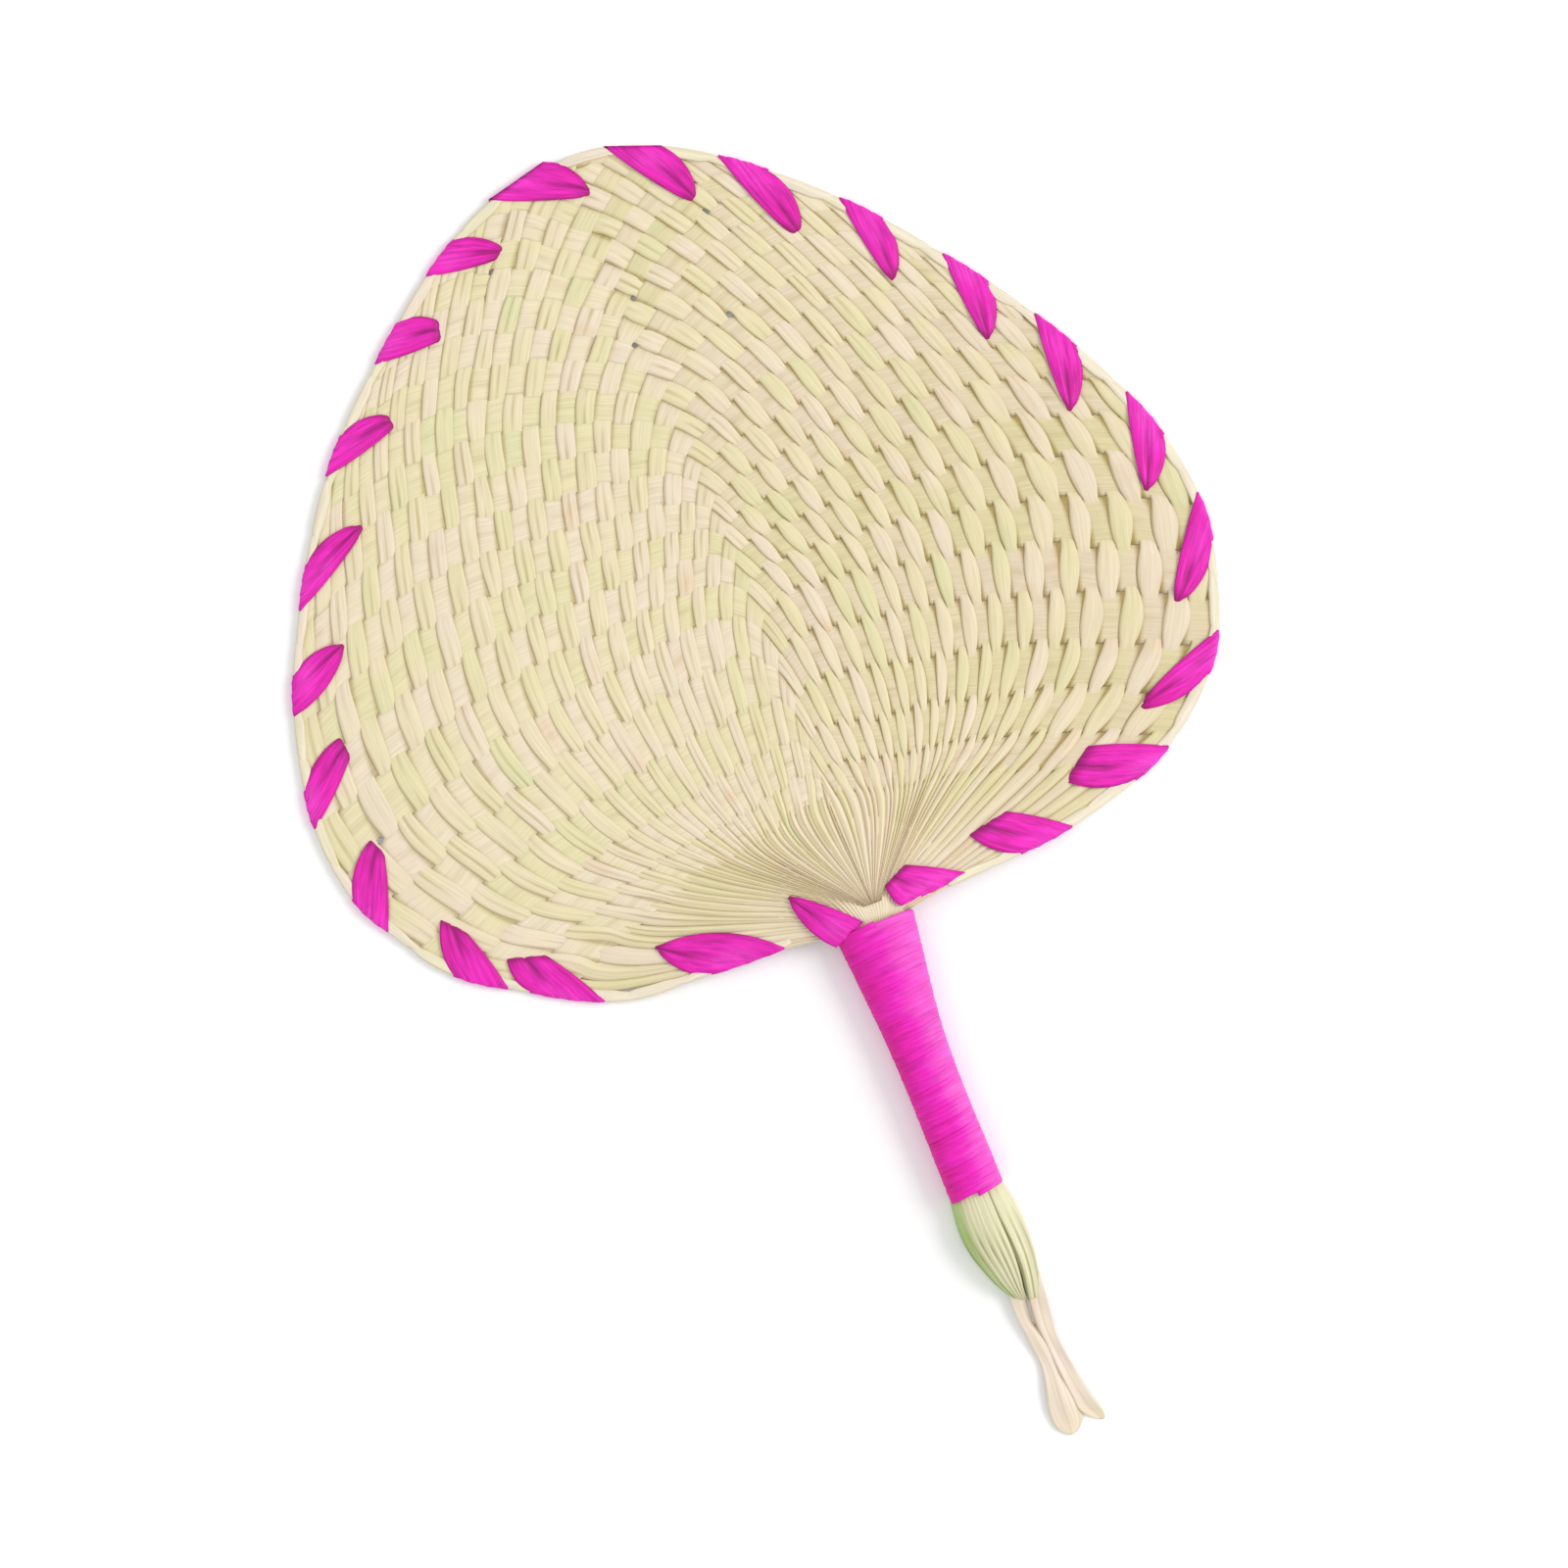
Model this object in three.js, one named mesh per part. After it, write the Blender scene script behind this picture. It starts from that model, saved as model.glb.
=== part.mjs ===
import * as THREE from "three";

// A hand fan plaited from palm leaf strips, bound at the rim and on the handle with dyed raffia.
// Millimetres. The blade lies in the XY plane, its front faces +Z and the handle points to -Y.
// While the pieces are made the foot of the blade is at x = 0, y = 0.
// At the end the whole fan is moved so that its box stands on z = 0 and is centred in x and y.

// Clearance between pieces that touch on the real fan
const CLEAR = 0.3;

// Weave
const LEAVES_PER_SIDE = 24;
const AXIS_CROSSINGS = 15;
const LEAF_SHARE = 0.67;
const LEAF_THICKNESS = 0.3;
const WEAVE_RISE = 1.05;

// Leaf base, the pleated root from which the strips fan out
const BASE_RADIUS = 24;
const BASE_HALF_SPREAD = 92;
const BASE_NECK_HALF_WIDTH = 10.4;
const BASE_NECK_HALF_THICKNESS = 4.4;
const BASE_NECK_Y = -5.2;
const BASE_PLEAT = 0.6;
const NECK_PLEAT_SHARE = 0.2;
// Share by which the neck thins out toward its two sides
const NECK_ROUNDNESS = 0.85;
const BASE_EDGE_HALF_THICKNESS = 0.9;

// Rim of the blade, read from the left side of the root over the top to the right side of the root
const RIM_LEFT = [
  [-24.5, -2.8], [-50, -2.4], [-77, -1], [-106, 13], [-125, 26], [-136, 42], [-143, 55],
  [-146.5, 75], [-144.5, 97], [-137.5, 122], [-127.5, 143], [-113, 168], [-98, 187],
  [-78, 206], [-54, 225], [-30, 237.5],
];
const RIM_TOP = [0, 241];
const RIM_RIGHT = [
  [20, 235.5], [39, 224.5], [67, 201], [90, 174.5], [110, 147], [127, 116], [134, 95],
  [136, 74], [131.5, 52], [126, 38], [117, 26], [98, 11.5], [70, 2], [45, -1.4], [24.5, -2.8],
];

// Heights on the axis at which the strips of the two sides meet, against the share of rows passed
const AXIS_HEIGHTS = [[0, 27], [0.1, 46], [0.29, 99], [0.44, 129], [1, 240]];
// Where a row reaches the rim: share of the rim length as a quadratic of the share of rows
const ROW_REACH = [0.16, 0.856, -0.016];
// Share of rows from which strips begin to end on the upper rim
const FIRST_FREE_ROW = 0.4;
// Half the crossing angle on the axis, in degrees: low, middle and top of the blade
const CROSSING_ANGLES = [6, 25, 47];
const ANGLE_GROWTH = [[0, 0.33], [0.3, 0.6]];
// Run of a row beside the axis and at the rim, lowest and highest row, in degrees above the level
const ROW_SLOPE_AXIS = [-29, 35];
const ROW_SLOPE_RIM = [-23, -33];
// Width of blade that all lanes would take at the pitch found beside the axis and at the rim,
// low and high on the blade, and the shares of rows between which it changes
const LANE_RUN_AXIS = [101, 141];
const LANE_RUN_RIM = [169, 118];
const AXIS_RUN_CHANGE = [0.2, 0.8];
const RIM_RUN_CHANGE = [0.3, 0.8];
// How far from the axis, as a share of all rows, a row needs to turn into its level run,
// and the shares of rows between which this turn dies out
const TURN_SHARE = 0.098;
const TURN_FADE = [0.45, 0.85];

// Height of the middle of the blade above the table, at the root and at the rim
const ROOT_HEIGHT = 6.7;
const DROP_START = 15;
const DROP_END = 95;

// Rim stitching, one strip of raffia
const RAFFIA_THICKNESS = 0.4;
const HOLE_RAFFIA_WIDTH = 1.6;
const HOLE_RAFFIA_THICKNESS = 0.34;
// How far from a hole the raffia lies flat again, and how far inside the rim
const HOLE_APPROACH = 2.4;
const RIM_TUCK = 0.3;
// Extra height just inside the rim, over the cut ends of the strips
const RIM_LIFT = 0.1;
// Width on the back: share of the stitch at the rim, then millimetres beside a hole and midway
const BACK_SHARE = 0.8;
const BACK_WIDTHS = [4, 7];
// Where the raffia stands upright in a hole: this far above and below the middle of the blade
const HOLE_DEPTH = 1;
// Outward bow of both edges of a stitch, as a share of their length
const STITCH_BOW = 0.06;
// Each stitch on the front by four corners: where it comes over the rim and where it leaves the
// rim, in the sense of travel, then the leading and the trailing corner of its end at the hole
const STITCHES = [
  [[-27.4, -1.3], [-52.5, -0.7], [-63.9, 10.2], [-62.7, 11.3]],
  [[-82.8, 2.1], [-104.5, 13.2], [-106.5, 23.2], [-95, 19.8]],
  [[-109, 14.8], [-123, 26.4], [-121, 41], [-115, 34.8]],
  [[-137.7, 42.7], [-143, 57.7], [-132.4, 70.8], [-129.8, 65.3]],
  [[-146, 79.7], [-144.2, 92.5], [-130.2, 102.8], [-129.2, 96]],
  [[-138.8, 113.1], [-135.7, 125.8], [-120.2, 129.3], [-119, 127.2]],
  [[-126.8, 141.8], [-120.6, 155.7], [-102.6, 160.8], [-101.6, 158.2]],
  [[-107.4, 177.9], [-97.6, 188.7], [-82.9, 188.3], [-82.3, 183.6]],
  [[-81.3, 203.7], [-68.7, 213.2], [-58.6, 209.2], [-60.2, 203.3]],
  [[-57.3, 222.9], [-44.7, 230.8], [-32.7, 223.1], [-36.5, 220]],
  [[-31.9, 237.6], [-12.6, 242.5], [-2.5, 231.5], [-3.2, 227.9]],
  [[6, 240.5], [22.2, 234.7], [27.4, 217.7], [24.1, 215.9]],
  [[36.8, 225.3], [51.5, 216.5], [53.3, 197.1], [49.1, 196.2]],
  [[66.8, 201.8], [77.7, 189.7], [75, 173.9], [72, 172.7]],
  [[89.3, 175], [100, 160.6], [94.6, 146.3], [92.3, 146.8]],
  [[107.9, 147.9], [116.3, 132.5], [110, 117.3], [107.9, 118.4]],
  [[123.4, 115.6], [130.8, 98.9], [123, 86.8], [121, 88.2]],
  [[134.3, 81.2], [134.1, 65.1], [120.2, 52.2], [117.6, 53.8]],
  [[126.9, 40.7], [120.1, 27.5], [96.9, 26.4], [100.8, 30.1]],
  [[100.9, 14.1], [87.2, 6.9], [68.8, 14], [78.6, 21.8]],
  [[65.6, 2.4], [47, 0.6], [36, 9.3], [48.7, 12.2]],
];
const FIRST_STITCH_START = [-8.4, -2.6];
const FIRST_STITCH_HOLE = [-21, 11];
const FIRST_STITCH_WIDTH = 7;
const LAST_STITCH_RIM = [27, -2.6];
const LAST_STITCH_END = [10, 5];
const LAST_STITCH_WIDTH = 11;
// The root is as thick as the neck out to here, and as thin as the weave from ROOT_END on
const NECK_REACH = 8;
const ROOT_END = 28;
const NECK_RISE = 3.8;

// Handle
const GRIP_TOP = -5.9;
const GRIP_END = -91;
const GRIP_LOOPS = 21;
const GRIP_STEPS = 16;
const GRIP_HALF_WIDTHS = [12.5, 8.9, 8.55];
const GRIP_CENTRES = [0.1, -0.3, 0.75];
const GRIP_HALF_HEIGHTS = [6.5, 6.3, 6.1];
const GRIP_WAIST = 0.42;
const WRAP_WIDTH = 3.4;
const WRAP_THICKNESS = 1.0;
const CORE_SIDES = 28;
const CORE_RINGS = 9;

// Open end of the handle and tail
const FOLD_HEIGHT = 11.4;
const FOLD_RIGHT_HEIGHT = 10.4;
const TAIL_THICKNESS = 1.8;
// The folded leaf stands up to this share of its height at its sides, and above it rounds over
const FOLD_SIDE_SHARE = 0.25;
const FOLD_ROUNDNESS = 0.7;

// Colours
const STRAW = [0xebe1b9, 0xe6dbae, 0xefe6c4, 0xe2d9a8];
const MAGENTA = 0xeb32be;
const PALE_GREEN = 0xcdd7a0;
const BEIGE = 0xf0dec3;

const ROWS = AXIS_CROSSINGS + 0.5;
const WIDEST_LANE = (LEAVES_PER_SIDE + 0.5) / ROWS;
const HALF_LEAF = LEAF_SHARE / 2;
const HALF_BLADE = WEAVE_RISE + LEAF_THICKNESS / 2;
const STITCH_HEIGHT = HALF_BLADE + CLEAR + RAFFIA_THICKNESS / 2;
const RIM_HEIGHT = STITCH_HEIGHT + RAFFIA_THICKNESS / 2;
const RAD = Math.PI / 180;

const fan = new THREE.Group();

const mix = (a, b, t) => a + (b - a) * t;
const clamp01 = (t) => Math.min(1, Math.max(0, t));
const ease = (low, high, x) => {
  const t = clamp01((x - low) / (high - low));
  return t * t * (3 - 2 * t);
};

// Cubic from a to b with end slopes va and vb
function hermite(t, a, va, b, vb) {
  const t2 = t * t;
  const t3 = t2 * t;
  return (2 * t3 - 3 * t2 + 1) * a + (t3 - 2 * t2 + t) * va + (3 * t2 - 2 * t3) * b + (t3 - t2) * vb;
}

// Smooth curve through a few [place, value] readings
function through(readings, x) {
  const last = readings.length - 1;
  const rise = (i) => (readings[i + 1][1] - readings[i][1]) / (readings[i + 1][0] - readings[i][0]);
  const slope = (i) => {
    if (i === 0) return rise(0);
    if (i === last) return rise(last - 1);
    const before = readings[i][0] - readings[i - 1][0];
    const after = readings[i + 1][0] - readings[i][0];
    return (rise(i - 1) * after + rise(i) * before) / (before + after);
  };
  let k = 0;
  while (k < last - 1 && x > readings[k + 1][0]) k += 1;
  const run = readings[k + 1][0] - readings[k][0];
  const t = (x - readings[k][0]) / run;
  return hermite(t, readings[k][1], run * slope(k), readings[k + 1][1], run * slope(k + 1));
}

// Rim curve, and the length of it that lies on the left of the top
const rimPoints = [...RIM_LEFT, RIM_TOP, ...RIM_RIGHT].map(([x, y]) => new THREE.Vector3(x, y, 0));
const rim = new THREE.CatmullRomCurve3(rimPoints, false, "centripetal");
const RIM_STEPS = 40;
rim.arcLengthDivisions = (rimPoints.length - 1) * RIM_STEPS;
const rimLengths = rim.getLengths();
const RIM_LENGTH = rim.getLength();
const LEFT_LENGTH = rimLengths[RIM_LEFT.length * RIM_STEPS];

function rimPoint(side, share) {
  const s = clamp01(share);
  const along = side < 0 ? s * LEFT_LENGTH : RIM_LENGTH - s * (RIM_LENGTH - LEFT_LENGTH);
  return rim.getPointAt(clamp01(along / RIM_LENGTH));
}

// Widest lane that a row reaches before it meets the rim
function laneLimit(v) {
  const x = clamp01((v - FIRST_FREE_ROW) / (1 - FIRST_FREE_ROW));
  return 1 + (WIDEST_LANE - 1) * (1 - x * x);
}

// Row at which a lane meets the rim, the inverse of laneLimit
function rowLimit(u) {
  const x = Math.sqrt(Math.max(0, 1 - (u - 1) / (WIDEST_LANE - 1)));
  return FIRST_FREE_ROW + (1 - FIRST_FREE_ROW) * x;
}

// Point of the fabric where lane u crosses row v, with side -1 on the left and +1 on the right.
// A row leaves the axis at half the crossing angle, turns level and runs out to the rim.
function rowPoint(side, u, v) {
  const step = 1e-4;
  const run = laneLimit(v) - v;
  const axisRise = (through(AXIS_HEIGHTS, v + step) - through(AXIS_HEIGHTS, v - step)) / (4 * step);
  const angle = CROSSING_ANGLES[0]
    + (CROSSING_ANGLES[1] - CROSSING_ANGLES[0]) * ease(...ANGLE_GROWTH[0], v)
    + (CROSSING_ANGLES[2] - CROSSING_ANGLES[1]) * ease(...ANGLE_GROWTH[1], v);
  const slope = mix(ROW_SLOPE_AXIS[0], ROW_SLOPE_AXIS[1], v) * RAD;
  const pace = mix(LANE_RUN_AXIS[0], LANE_RUN_AXIS[1], ease(...AXIS_RUN_CHANGE, v));
  const turn = 1 - ease(...TURN_FADE, v);
  const bendX = (side * axisRise * Math.tan(angle * RAD) - side * pace * Math.cos(slope)) * turn;
  const bendY = (axisRise - pace * Math.sin(slope)) * turn;
  const startX = side * axisRise * Math.tan(angle * RAD) - bendX;
  const startY = axisRise - bendY;
  const reach = ROW_REACH[0] + ROW_REACH[1] * v + ROW_REACH[2] * v * v;
  const end = rimPoint(side, reach);
  const rimSlope = mix(ROW_SLOPE_RIM[0], ROW_SLOPE_RIM[1], v) * RAD;
  const rimPace = mix(LANE_RUN_RIM[0], LANE_RUN_RIM[1], ease(...RIM_RUN_CHANGE, v));
  const fade = (distance) => TURN_SHARE * Math.exp(-distance / TURN_SHARE);
  const t = (u - v) / run;
  const atEnd = fade(run);
  const here = fade(u - v);
  const x = hermite(t, TURN_SHARE * bendX, startX * run,
    end.x + atEnd * bendX, side * Math.cos(rimSlope) * rimPace * run);
  const y = hermite(t, through(AXIS_HEIGHTS, v) + TURN_SHARE * bendY, startY * run,
    end.y + atEnd * bendY, Math.sin(rimSlope) * rimPace * run);
  return [x - here * bendX, y - here * bendY];
}

// Rows below this one are not woven, the strips run straight in from the root there
const OPEN_ROW = 0.5;

function rootPoint(side, lane) {
  const turn = (lane / (LEAVES_PER_SIDE + 0.5)) * BASE_HALF_SPREAD * RAD;
  const radius = BASE_RADIUS + CLEAR;
  return [side * Math.sin(turn) * radius, Math.cos(turn) * radius, turn];
}

// Point on a lane: row 0 is the edge of the leaf base, whole rows are the crossings
function lanePoint(side, lane, row) {
  if (row >= OPEN_ROW) return rowPoint(side, lane / ROWS, row / ROWS);
  const step = 0.01;
  const [rx, ry, turn] = rootPoint(side, lane);
  const [ex, ey] = rowPoint(side, lane / ROWS, OPEN_ROW / ROWS);
  const [nx, ny] = rowPoint(side, lane / ROWS, (OPEN_ROW + step) / ROWS);
  const reach = Math.hypot(ex - rx, ey - ry);
  const onward = Math.hypot(nx - ex, ny - ey);
  const t = row / OPEN_ROW;
  return [
    hermite(t, rx, side * Math.sin(turn) * reach, ex, ((nx - ex) / onward) * reach),
    hermite(t, ry, Math.cos(turn) * reach, ey, ((ny - ey) / onward) * reach),
  ];
}

// Point of the fabric at left strip p and right strip q: each strip starts on its own side
// and crosses the axis where p equals q
function fabricPoint(p, q) {
  return p >= q ? lanePoint(-1, p, q) : lanePoint(1, q, p);
}

// Height of the middle of the blade above the table
function bladeHeight(x, y) {
  return mix(ROOT_HEIGHT, RIM_HEIGHT, ease(DROP_START, DROP_END, Math.hypot(x, y)));
}

function add(name, geometry, colour, roughness) {
  const material = new THREE.MeshStandardMaterial({ color: colour, roughness, metalness: 0 });
  const mesh = new THREE.Mesh(geometry, material);
  mesh.name = name;
  fan.add(mesh);
}

// Closed geometry from points and triangles, turned so that its faces look outward
function closedGeometry(points, faces) {
  let volume = 0;
  for (const [a, b, c] of faces) {
    volume += points[a].dot(points[b].clone().cross(points[c]));
  }
  const ordered = volume < 0 ? faces.map(([a, b, c]) => [a, c, b]) : faces;
  const geometry = new THREE.BufferGeometry();
  geometry.setAttribute("position", new THREE.Float32BufferAttribute(points.flatMap((v) => v.toArray()), 3));
  geometry.setIndex(ordered.flat());
  geometry.computeVertexNormals();
  return geometry;
}

// Plate between an upper and a lower grid of points with equal rows and columns
function plate(upper, lower) {
  const rows = upper.length;
  const columns = upper[0].length;
  const points = [...upper.flat(), ...lower.flat()];
  const top = (r, c) => r * columns + c;
  const bottom = (r, c) => rows * columns + top(r, c);
  const faces = [];
  const quad = (a, b, c, d) => faces.push([a, b, c], [a, c, d]);
  for (let r = 0; r < rows - 1; r += 1) {
    for (let c = 0; c < columns - 1; c += 1) {
      quad(top(r, c), top(r, c + 1), top(r + 1, c + 1), top(r + 1, c));
      quad(bottom(r, c), bottom(r + 1, c), bottom(r + 1, c + 1), bottom(r, c + 1));
    }
    quad(top(r, 0), top(r + 1, 0), bottom(r + 1, 0), bottom(r, 0));
    quad(top(r + 1, columns - 1), top(r, columns - 1), bottom(r, columns - 1), bottom(r + 1, columns - 1));
  }
  for (let c = 0; c < columns - 1; c += 1) {
    quad(top(0, c + 1), top(0, c), bottom(0, c), bottom(0, c + 1));
    quad(top(rows - 1, c), top(rows - 1, c + 1), bottom(rows - 1, c + 1), bottom(rows - 1, c));
  }
  return closedGeometry(points, faces);
}

// Solid through rings of equal point count, with flat ends
function loft(rings) {
  const count = rings[0].length;
  const points = rings.flat();
  const faces = [];
  for (let r = 0; r < rings.length - 1; r += 1) {
    for (let k = 0; k < count; k += 1) {
      const a = r * count + k;
      const b = r * count + ((k + 1) % count);
      faces.push([a, b, b + count], [a, b + count, a + count]);
    }
  }
  const last = (rings.length - 1) * count;
  for (let k = 1; k < count - 1; k += 1) {
    faces.push([0, k + 1, k], [last, last + k, last + k + 1]);
  }
  return closedGeometry(points, faces);
}

// Height of a strip over the middle of the blade: above one crossing, below the next
function waveHeight(index, along) {
  if (along < OPEN_ROW) return 0;
  const crossing = Math.floor(along);
  const sign = (index + crossing) % 2 === 0 ? 1 : -1;
  return sign * WEAVE_RISE * (1 - 2 * (along - crossing));
}

// Places along the two edges of a strip, counted in crossings: root, open run, each crossing and
// the rim. An edge that meets the rim sooner than the other waits there in short steps.
const OPEN_RINGS = 3;
const WAIT_STEP = 0.04;
function stripRungs(ends) {
  const stations = [];
  for (let k = 0; k <= OPEN_RINGS; k += 1) stations.push((k / OPEN_RINGS) * OPEN_ROW);
  for (let crossing = 1; crossing < Math.max(...ends) - WAIT_STEP; crossing += 1) stations.push(crossing);
  const rungs = stations.map((along, k) => {
    const wait = WAIT_STEP * (stations.length - k);
    return ends.map((end) => Math.min(along, end - wait));
  });
  rungs.push(ends);
  return rungs;
}

// Place where the edge of a strip meets the rim, counted in crossings
function stripEnd(edge) {
  return (edge < ROWS ? laneLimit(edge / ROWS) : rowLimit(edge / ROWS)) * ROWS;
}

// One leaf strip, side -1 from the left half of the root or +1 from the right half
function leafStrip(side, index) {
  const edges = [index - HALF_LEAF, index + HALF_LEAF];
  const ends = edges.map(stripEnd);
  const upper = [];
  const lower = [];
  for (const rung of stripRungs(ends)) {
    const points = edges.map((edge, k) => {
      const wave = -side * waveHeight(index, rung[k]);
      const [x, y] = side < 0 ? fabricPoint(edge, rung[k]) : fabricPoint(rung[k], edge);
      return new THREE.Vector3(x, y, bladeHeight(x, y) + wave);
    });
    upper.push(points.map((v) => v.clone().setZ(v.z + LEAF_THICKNESS / 2)));
    lower.push(points.map((v) => v.clone().setZ(v.z - LEAF_THICKNESS / 2)));
  }
  return plate(upper, lower);
}

function addLeaves() {
  for (const [side, word] of [[-1, "left"], [1, "right"]]) {
    for (let index = 1; index <= LEAVES_PER_SIDE; index += 1) {
      const name = `leaf_${word}_${String(index).padStart(2, "0")}`;
      const colour = STRAW[(index * 3 + (side > 0 ? 1 : 0)) % STRAW.length];
      add(name, leafStrip(side, index), colour, 0.75);
    }
  }
}

// Pleated root of the leaf: a corrugated sheet from the oval neck in the grip to a half circle
function leafBase() {
  const folds = 2 * 2 * LEAVES_PER_SIDE;
  const stations = 4;
  const upper = [];
  const lower = [];
  for (let s = 0; s < stations; s += 1) {
    const t = s / (stations - 1);
    const upperRow = [];
    const lowerRow = [];
    for (let k = 0; k <= folds; k += 1) {
      const across = (2 * k) / folds - 1;
      const turn = across * BASE_HALF_SPREAD * RAD;
      const x = mix(across * BASE_NECK_HALF_WIDTH, Math.sin(turn) * BASE_RADIUS, t);
      const y = mix(BASE_NECK_Y, Math.cos(turn) * BASE_RADIUS, t);
      const neck = BASE_NECK_HALF_THICKNESS * Math.sqrt(1 - NECK_ROUNDNESS * across * across);
      const half = mix(neck, BASE_EDGE_HALF_THICKNESS, t);
      const pleat = (k % 2 === 0 ? 1 : -1) * BASE_PLEAT * mix(NECK_PLEAT_SHARE, 1, t);
      const middle = bladeHeight(x, y) + pleat;
      upperRow.push(new THREE.Vector3(x, y, middle + half));
      lowerRow.push(new THREE.Vector3(x, y, middle - half));
    }
    upper.push(upperRow);
    lower.push(lowerRow);
  }
  return plate(upper, lower);
}

// Rows at which the raffia may pass between two strips below the weave, and the least distance
// from the rim, in rows, at which it may pass in the weave
const OPEN_HOLE_ROWS = [0.12, 0.2, 0.28, 0.36, 0.44];
const RIM_MARGIN = 0.4;

// Free gap between strips that lies nearest to a wanted hole, with the run of the strips there
function nearestGap(x, y) {
  const side = x < 0 ? -1 : 1;
  let best = { distance: Infinity };
  for (let lane = 1.5; lane < LEAVES_PER_SIDE; lane += 1) {
    const rows = [...OPEN_HOLE_ROWS];
    for (let row = 1.5; row < Math.min(lane, stripEnd(lane) - RIM_MARGIN); row += 1) rows.push(row);
    for (const row of rows) {
      const [hx, hy] = lanePoint(side, lane, row);
      const distance = Math.hypot(hx - x, hy - y);
      if (distance < best.distance) best = { distance, side, lane, row, x: hx, y: hy };
    }
  }
  const step = 0.02;
  const [ax, ay] = lanePoint(best.side, best.lane, best.row + step);
  const [cx, cy] = lanePoint(best.side, best.lane + step, best.row);
  best.along = new THREE.Vector3(ax - best.x, ay - best.y, 0).normalize();
  best.across = new THREE.Vector3(cx - best.x, cy - best.y, 0).normalize();
  return best;
}

// Nearest place on the rim with its run and its outward direction
function nearestRim(x, y) {
  const samples = 1200;
  let best = { distance: Infinity };
  for (let k = 0; k <= samples; k += 1) {
    const point = rim.getPointAt(k / samples);
    const distance = Math.hypot(point.x - x, point.y - y);
    if (distance < best.distance) best = { distance, point, share: k / samples };
  }
  const tangent = rim.getTangentAt(best.share).normalize();
  const outward = new THREE.Vector3(-tangent.y, tangent.x, 0);
  return { x: best.point.x, y: best.point.y, tangent, outward };
}

// Height of the raffia over the front: it rises with the root toward the grip
function frontHeight(x, y) {
  const near = 1 - clamp01((Math.hypot(x, y) - NECK_REACH) / (ROOT_END - NECK_REACH));
  return bladeHeight(x, y) + STITCH_HEIGHT + near * NECK_RISE;
}

const UP = new THREE.Vector3(0, 0, 1);

// Cross-section of the raffia between two points on its edges
function band(from, to, outward, thickness) {
  const n = outward.clone().multiplyScalar(thickness / 2);
  return {
    upper: [from.clone().add(n), to.clone().add(n)],
    lower: [from.clone().sub(n), to.clone().sub(n)],
  };
}

// The same from its middle, the direction of its width and its width
function ring(x, y, z, across, outward, width, thickness) {
  const middle = new THREE.Vector3(x, y, z);
  const half = across.clone().multiplyScalar(width / 2);
  return band(middle.clone().sub(half), middle.clone().add(half), outward, thickness);
}

// Passing over the rim from the back to the front
function overRim(edge, width) {
  const { x, y, tangent, outward } = edge;
  const out = CLEAR + RAFFIA_THICKNESS;
  const height = bladeHeight(x, y);
  const at = (shift, z, direction, w) => ring(x + outward.x * shift, y + outward.y * shift, height + z,
    tangent, direction, w, RAFFIA_THICKNESS);
  return [
    at(-RIM_TUCK, -STITCH_HEIGHT, UP.clone().negate(), width * BACK_SHARE),
    at(out, -HALF_BLADE, outward, width),
    at(out, HALF_BLADE, outward, width),
    at(-RIM_TUCK, STITCH_HEIGHT + RIM_LIFT, UP, width),
  ];
}

// Width direction in a hole: the run of the fabric that is closest to the rim direction
function holeDirection(gap, tangent) {
  const choice = gap.row < 1
    || Math.abs(gap.along.dot(tangent)) > Math.abs(gap.across.dot(tangent)) ? gap.along : gap.across;
  return choice.dot(tangent) < 0 ? choice.clone().negate() : choice.clone();
}

function place(from, to, t) {
  return [mix(from.x, to.x, t), mix(from.y, to.y, t)];
}

// Point on an edge of a stitch that bows to the left of its run, or to the right with bow < 0
function bowed(from, to, t, bow) {
  const lift = 4 * t * (1 - t) * bow;
  return [
    mix(from[0], to[0], t) - lift * (to[1] - from[1]),
    mix(from[1], to[1], t) + lift * (to[0] - from[0]),
  ];
}

// Front run inside the four corners of a stitch, then down into a hole
function frontRun([first, last, leading, trailing], gap, tangent) {
  const direction = holeDirection(gap, tangent);
  const inward = new THREE.Vector3(direction.y, -direction.x, 0);
  const reach = Math.hypot(gap.x - (first[0] + last[0]) / 2, gap.y - (first[1] + last[1]) / 2);
  const flat = [0.5, 1 - HOLE_APPROACH / reach].map((t) => {
    const [ax, ay] = bowed(first, trailing, t, -STITCH_BOW);
    const [bx, by] = bowed(last, leading, t, STITCH_BOW);
    const z = frontHeight((ax + bx) / 2, (ay + by) / 2);
    return band(new THREE.Vector3(ax, ay, z), new THREE.Vector3(bx, by, z), UP, RAFFIA_THICKNESS);
  });
  const depth = bladeHeight(gap.x, gap.y) + HOLE_DEPTH;
  return [...flat, ring(gap.x, gap.y, depth, direction, inward, HOLE_RAFFIA_WIDTH, HOLE_RAFFIA_THICKNESS)];
}

// Back run from a hole out to the next place on the rim
function backRun(gap, edge, tangent) {
  const direction = holeDirection(gap, tangent);
  const inward = new THREE.Vector3(direction.y, -direction.x, 0);
  const reach = Math.hypot(gap.x - edge.x, gap.y - edge.y);
  const [nx, ny] = place(gap, edge, HOLE_APPROACH / reach);
  const [mx, my] = place(gap, edge, 0.5);
  const depth = bladeHeight(gap.x, gap.y) - HOLE_DEPTH;
  const down = UP.clone().negate();
  const between = edge.tangent.clone().add(direction).normalize();
  const low = (x, y, across, width) => ring(x, y, bladeHeight(x, y) - STITCH_HEIGHT, across, down,
    width, RAFFIA_THICKNESS);
  return [
    ring(gap.x, gap.y, depth, direction, inward, HOLE_RAFFIA_WIDTH, HOLE_RAFFIA_THICKNESS),
    low(nx, ny, direction, BACK_WIDTHS[0]),
    low(mx, my, between, BACK_WIDTHS[1]),
  ];
}

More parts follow.
